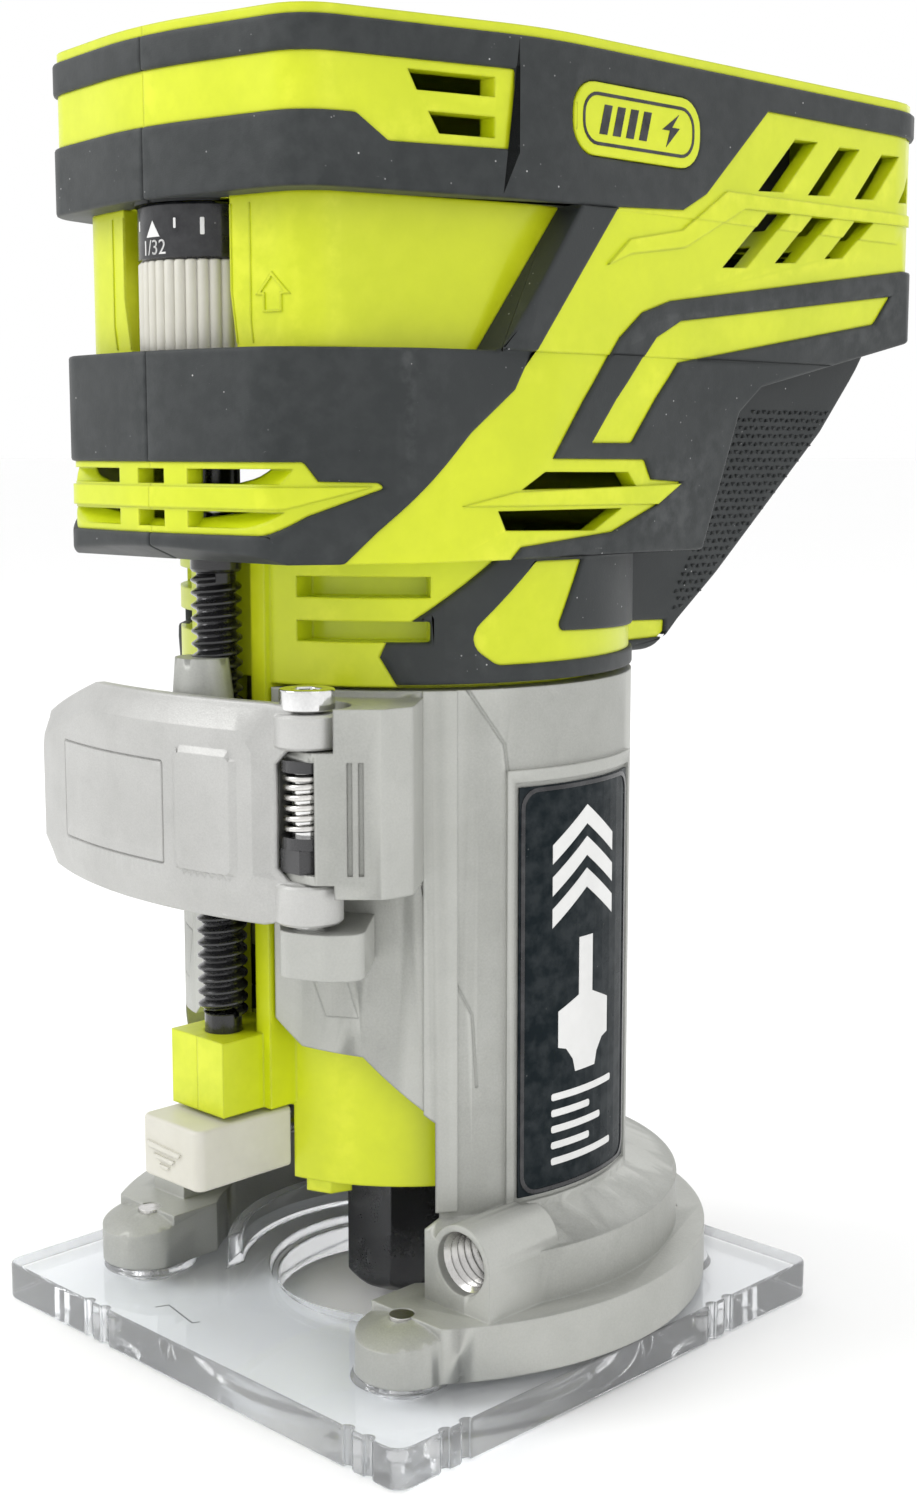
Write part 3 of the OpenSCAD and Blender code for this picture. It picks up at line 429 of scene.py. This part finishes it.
def resampled(loop, step):
    """A closed outline with its sides cut to lengths of about step."""
    dense = []
    for a, b in zip(loop, loop[1:] + loop[:1]):
        k = max(1, int(math.dist(a, b) / step))
        dense += [(a[0] + (b[0] - a[0]) * i / k, a[1] + (b[1] - a[1]) * i / k) for i in range(k)]
    return dense


def loop_edges(first, n):
    """Edges that join n points, from number first on, into a ring."""
    return [(first + i, first + (i + 1) % n) for i in range(n)]


def filled(points, triangles, outline, holes=()):
    """The triangles whose middle lies in the outline and in none of the holes."""
    keep = []
    for f in triangles:
        c = sum((points[i] for i in f), Vector((0, 0))) / len(f)
        if inside(c, outline) and not any(inside(c, h) for h in holes):
            keep.append(tuple(f))
    return keep


def side_walls(faces, n):
    """Walls from a sheet's open edges to its copy, whose vertices are numbered n higher."""
    seen = dict.fromkeys((a, b) for f in faces for a, b in zip(f, f[1:] + f[:1]))
    return [(a, n + a, n + b, b) for a, b in seen if (b, a) not in seen]


MARK_ANGLE = 40  # edges of marks sharper than this many degrees stay sharp


def marks(name, outlines, on, slot, body, mat=None, rise=0.05, sink=0.12, step=1.0):
    """Raised flat marks: filled (u, v) outlines laid on a surface, cut fine enough to follow it."""
    parts = []
    for outline in outlines:
        holes = []
        if isinstance(outline, dict):
            outline, holes = outline["edge"], outline["holes"]
        loops = [outline, *holes]
        pts, edges = [], []
        for loop in loops:
            dense = resampled(loop, step)
            edges += loop_edges(len(pts), len(dense))
            pts += dense
        lo = [min(p[i] for p in outline) for i in (0, 1)]
        hi = [max(p[i] for p in outline) for i in (0, 1)]
        for i in range(1, int((hi[0] - lo[0]) / step)):
            for j in range(1, int((hi[1] - lo[1]) / step)):
                q = (lo[0] + i * step, lo[1] + j * step)
                if inside(q, outline) and not any(inside(q, h) for h in holes):
                    pts.append(q)
        out = delaunay_2d_cdt([Vector(p) for p in pts], edges, [], 0, FLAT_TOLERANCE)
        v2 = out[0]
        keep = filled(v2, out[2], outline, holes)
        top = [tuple(on.hit(p, rise)[0]) for p in v2]
        low = [tuple(on.hit(p, -sink)[0]) for p in v2]
        parts.append((top + low, keep + side_walls(keep, len(v2))))
    return piece(name, *merged(parts), slot, body, MARK_ANGLE, mat)


def rounded_box(x0, y0, x1, y1, r, n=6):
    """Outline of a box with corners of radius r, n steps to a corner."""
    out = []
    corners = ((x1 - r, y1 - r, 0), (x0 + r, y1 - r, 90), (x0 + r, y0 + r, 180), (x1 - r, y0 + r, 270))
    for cx, cy, start in corners:
        for k in range(n + 1):
            a = math.radians(start + 90 * k / n)
            out.append((cx + r * math.cos(a), cy + r * math.sin(a)))
    return out


def grown(loop, d):
    """A convex anticlockwise outline moved out by d."""
    out = []
    n = len(loop)
    for i in range(n):
        a, b, c = Vector(loop[i - 1]), Vector(loop[i]), Vector(loop[(i + 1) % n])
        e, f = (b - a).normalized(), (c - b).normalized()
        m, k = Vector((e.y, -e.x)), Vector((f.y, -f.x))
        out.append(tuple(b + (m + k) * d / (1 + m.dot(k))))
    return out


def letters(text, size, at=(0, 0)):
    """Plain figures as a list of filled (u, v) polygons."""
    curve = bpy.data.curves.new("figures", "FONT")
    curve.body, curve.size, curve.align_x = text, size, "CENTER"
    o = bpy.data.objects.new("figures", curve)
    bpy.context.scene.collection.objects.link(o)
    bpy.context.view_layer.update()
    me = bpy.data.meshes.new_from_object(o.evaluated_get(bpy.context.evaluated_depsgraph_get()))
    spots = [(at[0] + v.co.x, at[1] + v.co.y) for v in me.vertices]
    polys = [[spots[i] for i in p.vertices] for p in me.polygons]
    bpy.data.objects.remove(o)
    bpy.data.meshes.remove(me)
    return polys


def printed(name, polys, on, slot, body, mat):
    """Thin print made of ready polygons, each doubled into a closed skin."""
    rise, sink = 0.04, 0.05
    parts = []
    for p in polys:
        n = len(p)
        top = [tuple(on.hit(q, rise)[0]) for q in p]
        low = [tuple(on.hit(q, -sink)[0]) for q in p]
        skin = [tuple(range(n)), tuple(range(n, 2 * n))[::-1]]
        skin += [(i, n + i, n + (i + 1) % n, (i + 1) % n) for i in range(n)]
        parts.append((top + low, skin))
    return piece(name, *merged(parts), slot, body, MARK_ANGLE, mat)


COPLANAR = 0.6    # faces of a copied node within this many degrees of each other are joined up
ROUNDED_FROM = 30  # and edges sharper than this many degrees are rounded


def copy_of(node, name):
    """A new mesh object with a CAD node's shape, its flat faces joined up."""
    o = bpy.data.objects.new(name, nodes[node].data.copy())
    bpy.context.scene.collection.objects.link(o)
    bm = bmesh.new()
    bm.from_mesh(o.data)
    bmesh.ops.remove_doubles(bm, verts=bm.verts, dist=JOINED_CAD_M)
    bmesh.ops.dissolve_limit(bm, angle_limit=math.radians(COPLANAR), verts=bm.verts, edges=bm.edges)
    bm.to_mesh(o.data)
    bm.free()
    return o


def cut(o, tools):
    """Cuts closed tools, given as (verts, faces), out of o."""
    for v, f in tools:
        me = bpy.data.meshes.new("tool")
        me.from_pydata([tuple(c * MM for c in p) for p in v], [], f)
        t = bpy.data.objects.new("tool", me)
        bpy.context.scene.collection.objects.link(t)
        bm = bmesh.new()
        bm.from_mesh(me)
        bmesh.ops.remove_doubles(bm, verts=bm.verts, dist=JOINED_CAD_M)
        bmesh.ops.recalc_face_normals(bm, faces=bm.faces)
        bm.to_mesh(me)
        bm.free()
        mod = o.modifiers.new("cut", "BOOLEAN")
        mod.operation, mod.object, mod.solver = "DIFFERENCE", t, "EXACT"
        mod.use_self = True
        bake(o)
        bpy.data.objects.remove(t)
    return o


def bake(o):
    """Applies o's modifiers."""
    bpy.context.view_layer.update()
    me = bpy.data.meshes.new_from_object(o.evaluated_get(bpy.context.evaluated_depsgraph_get()))
    o.modifiers.clear()
    old = o.data
    o.data = me
    bpy.data.meshes.remove(old)


def soften(node, width, segments=2, extra=None, clamp=False):
    """Stands in for a CAD node: the same shape with its edges rounded."""
    o = copy_of(node, node + "_soft")
    if extra:
        extra(o)
    before = BVHTree.FromPolygons([v.co for v in o.data.vertices],
                                  [p.vertices for p in o.data.polygons])
    mod = o.modifiers.new("round", "BEVEL")
    mod.width, mod.segments = width * MM, segments
    mod.limit_method, mod.angle_limit = "ANGLE", math.radians(ROUNDED_FROM)
    mod.use_clamp_overlap, mod.harden_normals = clamp, False
    bake(o)
    # a corner that the rounding threw out goes back to the surface
    for v in o.data.vertices:
        place, _, _, away = before.find_nearest(v.co)
        if away > width * MM * 0.9:
            v.co = place
    finish_piece(o, slot_of[node], body_of[node], 50, replaces=(node,))
    mod = o.modifiers.new("even", "WEIGHTED_NORMAL")
    mod.keep_sharp, mod.weight = True, 100
    bake(o)
    return o


# ---------------------------------------------------------------- softened shells and castings

SCREW = (0, -41)           # the depth screw's axis
PIVOT = (24.2, -43.5)      # the lever's axis
BARREL_R = 38.5            # the casting's outer radius
GUIDE = (39, -26.0, 24.5)  # middle of the guide hole's mouth
PLATE_HALF = 51
PLATE_T = 6.6


def about_front(r, angle, z):
    """Point at a radius, at an angle in degrees counted from the front (-Y) towards +X."""
    a = math.radians(angle - 90)
    return (r * math.cos(a), r * math.sin(a), z)


def on_barrel(points, r=BARREL_R, step=2.0):
    """A path over the casting through (angle, z) points."""
    out = []
    for (a0, z0), (a1, z1) in zip(points, points[1:]):
        n = max(2, int(math.hypot(math.radians(a1 - a0) * r, z1 - z0) / step))
        out += [about_front(r, a0 + (a1 - a0) * i / n, z0 + (z1 - z0) * i / n) for i in range(n)]
    return out + [about_front(r, *points[-1])]


def cylinder_along(axis, centre, r, length, n=48):
    """(verts, faces) of a solid cylinder from centre along axis."""
    return tube([Vector(centre), Vector(centre) + Vector(axis) * length], r, n)


def groove_casting(o):
    """Opens the guide hole for its thread and cuts fine lines into the barrel."""
    tools = [cylinder_along((0, 1, 0), (GUIDE[0], GUIDE[1] - 1, GUIDE[2]), 5.1, 15.8)]
    for side in (1, -1):
        for path, r in (([(70.6, 100), (69.6, 104.7), (59.4, 114.5)], 0.35),
                        ([(49.9, 83), (52.8, 73.7), (61.6, 61.9), (62.8, 50)], 0.3),
                        ([(22.1, 70.5), (30.9, 70.6), (34.7, 61.7), (26.8, 61.7), (22.1, 70.5)], 0.16)):
            tools.append(tube(on_barrel([(side * a, z) for a, z in path], BARREL_R + 0.05), r, 8))
    cut(o, tools)


def notch_plate(o):
    """Cuts eight pairs of upright notches into the sub-base's edges."""
    half, apart, notch_r = PLATE_HALF, 4.4, 0.95
    tools = []
    for x, y in ((-23.3, -half), (42.2, -half), (half, -39), (half, 24.8),
                 (23.3, half), (-42.2, half), (-half, 39), (-half, -24.8)):
        for s in (-apart / 2, apart / 2):
            px, py = (x + s, y) if abs(y) == half else (x, y + s)
            tools.append(cylinder_along((0, 0, 1), (px, py, -1), notch_r, 9, 20))
    cut(o, tools)


soften("housing_right", 0.3, clamp=True)
soften("housing_left", 0.3, clamp=True)
soften("overmould_right", 0.45)
soften("overmould_left", 0.45)
soften("base_casting", 0.4, extra=groove_casting, clamp=True)
soften("sub_base", 0.5, extra=notch_plate)
soften("lock_button", 0.7, 3)
soften("collet_nut", 0.35)
soften("badge_right", 0.3)
soften("badge_left", 0.3)
soften("switch_rocker", 0.35)
soften("switch_frame", 0.4)
soften("pivot_bolt", 0.3, 3)
soften("battery_socket", 0.3)

# ---------------------------------------------------------------- clamp lever


def lever():
    """The cast handle: a curved plate with a broad chamfer, a raised pad and a fine line round its panel."""
    radius, middle, front = 100.0, -4.0, -53.2
    pad_rise, back, back_at_knuckles = 0.55, -3.5, -2.5

    def place(p, h):
        a = p[0] / radius
        return (middle + (radius + h) * math.sin(a), front + radius - (radius + h) * math.cos(a), p[1])

    def along(x):
        return radius * math.asin((x - middle) / radius)

    outline = [(-45.7, 84), (-44.6, 80.8), (-41, 79.3), (-12, 79.1), (20, 79.1), (23.4, 79.9),
               (26.8, 82.6), (27.4, 86.0), (24.4, 86.2), (22.4, 88), (22.4, 103.8), (24.4, 105.8),
               (27.7, 106.0), (27.7, 108), (25, 112.5), (21.5, 112.9), (-20.5, 112.9), (-43, 105.9),
               (-45.6, 103)]
    core = [(-41.6, 84.6), (17.2, 84), (19.4, 87), (19.4, 105.4), (17.2, 108.6), (-19.4, 108.6),
            (-40.6, 102.2), (-41.6, 100)]
    outline, core = ([(along(x), z) for x, z in loop] for loop in (outline, core))
    panel = rounded_box(along(-29.5), 86.4, along(1.2), 102.8, 0.6, 3)
    pad = rounded_box(along(3.4), 85.4, along(16.6), 105.6, 2.2, 5)
    loops = [(grown(outline, -d), h) for d, h in ((0, -2.0), (0.25, -1.7), (0.7, -1.55), (1.1, -1.45))]
    loops += [(core, 0.0)]
    loops += [(grown(panel, d), h) for d, h in ((0, 0), (-0.2, -0.4), (-0.4, 0))]
    loops += [(pad, 0.0), (grown(pad, -1.1), pad_rise)]
    pts, hs, edges = [], [], []
    for loop, h in loops:
        dense = resampled(loop, 1.4)
        edges += loop_edges(len(pts), len(dense))
        pts += dense
        hs += [h] * len(dense)
    for i in range(-30, 25):
        for z in range(82, 112, 2):
            q = (i * 1.5, z + 0.3)
            if inside(q, core):
                pts.append(q)
                hs.append(pad_rise if inside(q, loops[-1][0]) else 0.0)
    out = delaunay_2d_cdt([Vector(p) for p in pts], edges, [], 0, FLAT_TOLERANCE)
    v2, tris, origin = out[0], out[2], out[3]
    height = [hs[origin[i][0]] if origin[i] else 0.0 for i in range(len(v2))]
    keep = filled(v2, tris, outline)

    def depth(p):
        return back_at_knuckles if p[0] > along(19) and 85.9 < p[1] < 106.1 else back

    top = [place(p, h) for p, h in zip(v2, height)]
    low = [place(p, depth(p)) for p in v2]
    n = len(v2)
    parts = [(top + low, keep + [tuple(n + i for i in f)[::-1] for f in keep] + side_walls(keep, n))]
    for z0, z1 in ((79.6, 85.8), (106.2, 111.4)):
        knuckle = [(2.6, z0 + 0.3), (2.9, z0), (4.8, z0), (5.2, z0 + 0.4),
                   (5.2, z1 - 0.4), (4.8, z1), (2.9, z1), (2.6, z1 - 0.3)]
        parts.append(lathe(knuckle, 48, PIVOT, closed=True))
        web = [(12, -50.4), (21.4, -48.2), (21.4, -45.2), (19.6, -45.2), (12, -48)]
        parts.append(prism(web, z0 + 0.05, z1 - 0.05))
    piece("lever_casting", *merged(parts), "cast_alloy", "clamp_lever", 22, LEVER_ALLOY,
          replaces=("clamp_lever",))


lever()

# ---------------------------------------------------------------- screw, springs and threads


def depth_screw():
    lead = 2.0
    form = [(3.05, 0), (3.15, 0.12), (3.9, 0.36), (4.0, 0.42),
            (4.0, 0.56), (3.9, 0.62), (3.15, 0.88), (3.05, 1.0)]
    parts = [thread(form, lead, 59.6, 129.4, SCREW, 36),
             lathe([(0, 46.6), (2.6, 46.6), (3, 47), (3, 60.4), (3.2, 60.6), (0, 60.7)], 40, SCREW),
             lathe([(0, 128.6), (3.1, 128.6), (3.1, 131), (3.7, 131.2), (4, 131.6), (4, 164.2), (0, 164.2)],
                   40, SCREW)]
    piece("lead_screw", *merged(parts), "black_steel", "depth_screw", 30, replaces=("depth_screw",))


def coil(r, wire, z0, z1, turns, at):
    """Centre line of a spring whose end turns lie flat."""
    flat = 0.75  # turns at each end
    path = []
    n = int(turns * 24)
    for k in range(n + 1):
        t = k / n
        f = min(1, max(0, (t * turns - flat) / (turns - 2 * flat)))
        z = (z0 + wire + 2 * wire * min(flat, t * turns) * 0.8
             + (z1 - z0 - 2 * wire - 3.2 * wire * flat) * f
             + 2 * wire * max(0, t * turns - turns + flat) * 0.8)
        a = 2 * math.pi * turns * t
        path.append((at[0] + r * math.cos(a), at[1] + r * math.sin(a), z))
    return path


def spring():
    v, f = tube(coil(3.3, 0.5, 93.0, 102.6, 6.2, PIVOT), 0.5, 10)
    piece("lever_spring", v, f, "bright_steel", "base", 60, replaces=("clamp_spring",))


def guide_thread():
    """M10 thread inside the hole for the edge guide, its axis along Y."""
    form = [(5.12, -0.02), (5.02, 0.06), (4.3, 0.44), (4.25, 0.5), (4.3, 0.56), (5.02, 0.94), (5.12, 1.02)]
    v, f = thread(form, 1.5, 0.6, 14.4, (0, 0), 36)
    v = [(GUIDE[0] + x, GUIDE[1] + z, GUIDE[2] + y) for x, y, z in v]
    piece("guide_thread", v, f, "bright_steel", "base", 35, mat=M["bright_steel"])


depth_screw()
spring()
guide_thread()

# ---------------------------------------------------------------- dial

DIAL_Z = (164.2, 178.0, 186.2)  # the knob's foot, the foot of the black band and its top
DIAL_R = 10.95
POINTER_Z = 183.2


def dial():
    flutes, flute_depth = 36, 0.62

    def fluted(r, a):
        if r < 10.2:
            return r
        return r - flute_depth + flute_depth * abs(math.sin(a * flutes / 2)) ** 0.55

    foot, lo, hi = DIAL_Z
    knob = [(4.2, foot), (10.1, foot), (10.6, foot + 0.15), (DIAL_R, foot + 0.6), (DIAL_R, 171),
            (DIAL_R, lo - 0.35), (10.7, lo - 0.06), (4.2, lo - 0.06)]
    v, f = lathe(knob, flutes * 10, SCREW, closed=True, wobble=fluted)
    piece("dial_knob", v, f, "ivory_plastic", "depth_screw", 60, replaces=("dial_grip",))
    band = [(4.2, lo), (10.6, lo), (DIAL_R, lo + 0.3), (DIAL_R, hi - 0.35), (10.6, hi), (4.2, hi)]
    v, f = lathe(band, 144, SCREW, closed=True)
    piece("dial_band", v, f, "dial_black", "depth_screw", 30, replaces=("dial_ring",))
    pointer = [(-1.55, POINTER_Z - 1.9), (1.55, POINTER_Z - 1.9), (0, POINTER_Z + 0.5)]
    for k, figure in enumerate(("1/32", "1/16", "3/32", "1/8")):
        on = Round(DIAL_R, SCREW, -89.5 + 90 * k)
        marks(f"dial_pointer_{k}", [pointer], on, "dial_black", "depth_screw", WHITE, 0.04, 0.1, 0.6)
        printed(f"dial_figure_{k}", letters(figure, 3.1, (0, 178.75)), on, "dial_black", "depth_screw", WHITE)
        ticks = [rounded_box(8.6 - 0.33, 181.4, 8.6 + 0.33, 183.9, 0.1, 1)]
        ticks += [rounded_box(u - 0.2, 182.4, u + 0.2, 183.9, 0.08, 1) for u in (4.3, 12.9)]
        marks(f"dial_ticks_{k}", ticks, on, "dial_black", "depth_screw", WHITE, 0.04, 0.1, 0.8)


dial()

# ---------------------------------------------------------------- marks on the shells

shell_right = surface_of("housing_right")
shell_left = surface_of("housing_left")
rubber_right = surface_of("overmould_right")
rubber_left = surface_of("overmould_left")


def from_front(origin, target):
    """A drawing plane that faces the front."""
    return Flat(origin, (1, 0, 0), (0, 0, 1), (0, 1, 0), target)


def arrow(on, name):
    """The raised outline of an arrow."""
    shape = [(0, 2.9), (-3.1, -0.4), (-1.7, -0.4), (-1.7, -2.9), (1.7, -2.9), (1.7, -0.4), (3.1, -0.4)]
    hole = [(0, 2.2), (-2.1, -0.05), (-1.35, -0.05), (-1.35, -2.55), (1.35, -2.55), (1.35, -0.05),
            (2.1, -0.05)]
    marks(name, [{"edge": shape, "holes": [hole]}], on, "lime_plastic", "motor_unit", None, 0.22, 0.2, 0.8)


arrow(from_front((20.8, -80, 172.6), shell_right), "arrow_up")
window_line = rounded_box(-0.14, 165.5, 0.14, 185.4, 0.05, 1)
for x in (13.1, 16.7):
    for tag, where, target in (("", x, shell_right), ("l", -x, shell_left)):
        marks(f"window_line_{tag}{int(x)}", [window_line], from_front((where, -80, 0), target),
              "lime_plastic", "motor_unit", None, 0.16, 0.2, 1.5)

lock_bars = [[(-4.4, 1.5), (4.4, 1.0), (3.7, 0.2), (-3.7, 0.5)],
             [(-2.6, -0.3), (2.7, -0.5), (2.1, -1.2), (-1.9, -1.0)],
             [(-1.2, -1.7), (1.4, -1.8), (0.9, -2.4), (-0.6, -2.35)]]
marks("lock_icon", lock_bars, from_front((-1.2, -52.4, 38.9), surface_of("lock_button")),
      "ivory_plastic", "lock_button", None, 0.35, 0.3, 1.0)


def badge(side):
    """A ring, four bars and a bolt on the badge of one side."""
    tag = "right" if side > 0 else "left"
    on = Flat((71.5 * side, 10, 199.5), (0, side, 0), (0, 0, 1), (-side, 0, 0), surface_of(f"badge_{tag}"))
    ring = {"edge": rounded_box(-13.3, -3.9, 13.3, 3.9, 3.3),
            "holes": [rounded_box(-12.8, -3.4, 12.8, 3.4, 2.8)]}
    bars = []
    for k in range(4):
        u = -9.6 + 3.1 * k
        bars.append([(u, -2.2), (u + 1.8, -2.2), (u + 3.0, 2.2), (u + 1.2, 2.2)])
    bolt = [(6.3, -2.6), (9.6, 0.5), (7.7, 0.5), (9.4, 2.6), (5.3, 0.0), (7.2, 0.0)]
    for what, shapes in (("ring", [ring]), ("bars", bars + [bolt])):
        marks(f"badge_{what}_{tag}", shapes, on, "charcoal_rubber", "motor_unit", M["dial_black"],
              0.08, 0.15, 1.2)


badge(1)
badge(-1)

# ---------------------------------------------------------------- generic label on the casting


def label(side):
    """A rim, three chevrons, a cutter's outline and five lines on the label of one side."""
    tag = "right" if side > 0 else "left"
    middle = 94.5  # degrees from the front
    on = Round(BARREL_R + 0.5, (0, 0), middle - 90 if side > 0 else -90 - middle)
    rim = {"edge": rounded_box(-14.2, 31.0, 14.2, 97.5, 3.2),
           "holes": [rounded_box(-13.5, 31.7, 13.5, 96.8, 2.6)]}
    marks(f"label_rim_{tag}", [rim], on, "black_label", "base", M["dial_black"], 0.14, 0.1, 1.6)
    shapes = []
    for k in range(3):
        v = 77.5 + 5.2 * k
        shapes.append([(-8, v), (-8, v - 3.1), (0, v + 2.6), (8, v - 3.1), (8, v), (0, v + 5.7)])
    cutter_half = [(1.8, 72), (1.8, 62.5), (6.6, 60.5), (6.6, 54.5), (4.8, 54), (3.2, 52), (2.6, 49.8)]
    shapes.append(cutter_half + [(-u, v) for u, v in cutter_half[::-1]])
    for k, wide in enumerate((8, 4.6, 6.2, 4.6, 8)):
        shapes.append(rounded_box(-8, 35 + 2.7 * k, -8 + 2 * wide, 36.2 + 2.7 * k, 0.4, 3))
    marks(f"label_print_{tag}", shapes, on, "black_label", "base", WHITE, 0.05, 0.1, 1.6)


label(1)
label(-1)

# ---------------------------------------------------------------- grip texture


def bumps(name, cells, on):
    """Small wedge-shaped grip bumps laid on a surface, each from one (u, v, turned round) cell."""
    w, h = 0.62, 0.42
    sink, rise, too_far = -0.08, 0.36, 3
    verts, faces = [], []
    for u, v, flip in cells:
        base = [(u - w, v - h), (u + w, v - h), (u + w * 0.35, v + h), (u - w * 0.35, v + h)]
        if flip:
            base = [(2 * u - a, 2 * v - b) for a, b in base]
        hits = [on.hit(p, sink)[0] for p in base]
        crest_v = v + (0.2 if flip else -0.2)
        crest = [on.hit((u + s * w * 0.55, crest_v), rise)[0] for s in (-1, 1)]
        if None in hits or None in crest:
            continue
        if flip:
            crest.reverse()
        if max((hits[0] - q).length for q in hits + crest) > too_far:
            continue
        n = len(verts)
        verts += hits + crest
        wedge = ((0, 1, 5, 4), (1, 2, 5), (2, 3, 4, 5), (3, 0, 4), (3, 2, 1, 0))
        faces += [tuple(n + i for i in face) for face in wedge]
    piece(name, [tuple(v) for v in verts], faces, "charcoal_rubber", "motor_unit", 20)


side_area = [(40, 122.5), (52.5, 155.5), (66, 158), (84.5, 157.3), (79.5, 152.2), (53, 128), (46, 122.5)]
rubber_sides = ((1, "right", rubber_right), (-1, "left", rubber_left))
for side, tag, target in rubber_sides:
    cells = []
    for i in range(30):
        for j in range(27):
            p = (38 + i * 1.62 + (j % 2) * 0.81, 122.5 + j * 1.42)
            if inside(p, side_area):
                cells.append((*p, (i + j) % 2))
    bumps(f"grip_bumps_{tag}", cells, Flat((90 * side, 0, 0), (0, 1, 0), (0, 0, 1), (-side, 0, 0), target))

rear_middle, rear_out = Vector((0, 52, 128.5)), Vector((0, 25, -28))
slope = Vector((0, 28, 25)).normalized()
for side, tag, target in rubber_sides:
    cells = [(side * (1.3 + i * 1.7 + (j % 2) * 0.85), 3 + j * 1.5, (i + j) % 2)
             for i in range(10) for j in range(22)]
    bumps(f"grip_rear_{tag}", cells, Flat(rear_middle + rear_out, (1, 0, 0), slope, -rear_out, target))

# ---------------------------------------------------------------- sub-base line mark

plate_top = Flat((0, 0, PLATE_T), (1, 0, 0), (0, 1, 0), (0, 0, -1), surface_of("sub_base"), 20)
zigzag = [(-15.2, -44.4), (-14.3, -42.4), (-5.8, -44.1), (-5.3, -43.1)]
strokes = []
for a, b in zip(zigzag, zigzag[1:]):
    along = (Vector(b) - Vector(a)).normalized() * 0.16
    across = Vector((-along.y, along.x))
    strokes.append([tuple(Vector(a) - along - across), tuple(Vector(b) + along - across),
                    tuple(Vector(b) + along + across), tuple(Vector(a) - along + across)])
ENGRAVED = moulded("engraved_line", (0.3, 0.31, 0.32), (0.22, 0.23, 0.24), (0.4, 0.55), 0.2, 0.01, 0.1, 0.05)
marks("plate_line", strokes, plate_top, "clear_plate", "base", ENGRAVED, 0.02, 0.06, 1.0)

# ---------------------------------------------------------------- tab under the motor unit

v, f = prism([(9.2, -31.6), (13.4, -30.1), (14.6, -26.6), (9.2, -26.6)], 30.3, 32.9)
piece("barrel_tab", v, f, "lime_plastic", "motor_unit", 30)

# ---------------------------------------------------------------- stage, light and camera


def stage():
    """A pale floor that runs out to the horizon."""
    below_m = 0.0002  # keeps the floor clear of the sub-base's underside
    v, f = lathe([(0.0, 0), (2000, 0), (9000, 0), (30000, 0)], 72)
    me = bpy.data.meshes.new("floor")
    me.from_pydata([(x * MM, y * MM, z * MM - below_m) for x, y, z in v], [], f)
    o = bpy.data.objects.new("floor", me)
    bpy.context.scene.collection.objects.link(o)
    for p in me.polygons:
        p.use_smooth = True
    g = Graph("pale_floor")
    g.set(Base_Color=g.mix(g.noise(400, 2), (0.985, 0.985, 0.984), (0.992, 0.992, 0.992)),
          Roughness=g.span(g.noise(30, 3), 0.3, 0.7, 0.7, 0.85), Specular_IOR_Level=0.2)
    me.materials.append(g.mat)


def area(name, at, target, size, power):
    """A soft white square light at a place, pointed at a target."""
    lamp = bpy.data.lights.new(name, "AREA")
    lamp.shape, lamp.size, lamp.energy, lamp.color = "SQUARE", size, power, (1, 1, 1)
    o = bpy.data.objects.new(name, lamp)
    bpy.context.scene.collection.objects.link(o)
    o.location = at
    o.rotation_euler = (Vector(target) - Vector(at)).to_track_quat("-Z", "Y").to_euler()


stage()
world = bpy.data.worlds.new("studio")
world.use_nodes = True
world.node_tree.nodes["Background"].inputs[0].default_value = (1, 1, 1, 1)
world.node_tree.nodes["Background"].inputs[1].default_value = 1.0
bpy.context.scene.world = world
centre = (0, 0.02, 0.1)
area("key", (-0.55, -0.75, 0.85), centre, 0.55, 4.4)
area("fill", (0.95, -0.15, 0.45), centre, 0.6, 0.4)
area("top", (0.1, 0.15, 1.1), centre, 0.8, 1.4)
area("rim", (-0.3, 0.9, 0.6), centre, 0.6, 0.8)
bpy.context.scene.view_settings.view_transform = "Standard"

camera = bpy.data.cameras.new("camera")
camera.lens, camera.sensor_width = 49.44, 36
cam = bpy.data.objects.new("camera", camera)
bpy.context.scene.collection.objects.link(cam)
AZIMUTH, DOWN = math.radians(44.75), math.radians(8.35)
cam.location = (0.25395, -0.24334, 0.15028)
look = Vector((-math.sin(AZIMUTH) * math.cos(DOWN), math.cos(AZIMUTH) * math.cos(DOWN), -math.sin(DOWN)))
cam.rotation_euler = look.to_track_quat("-Z", "Y").to_euler()
bpy.context.scene.camera = cam
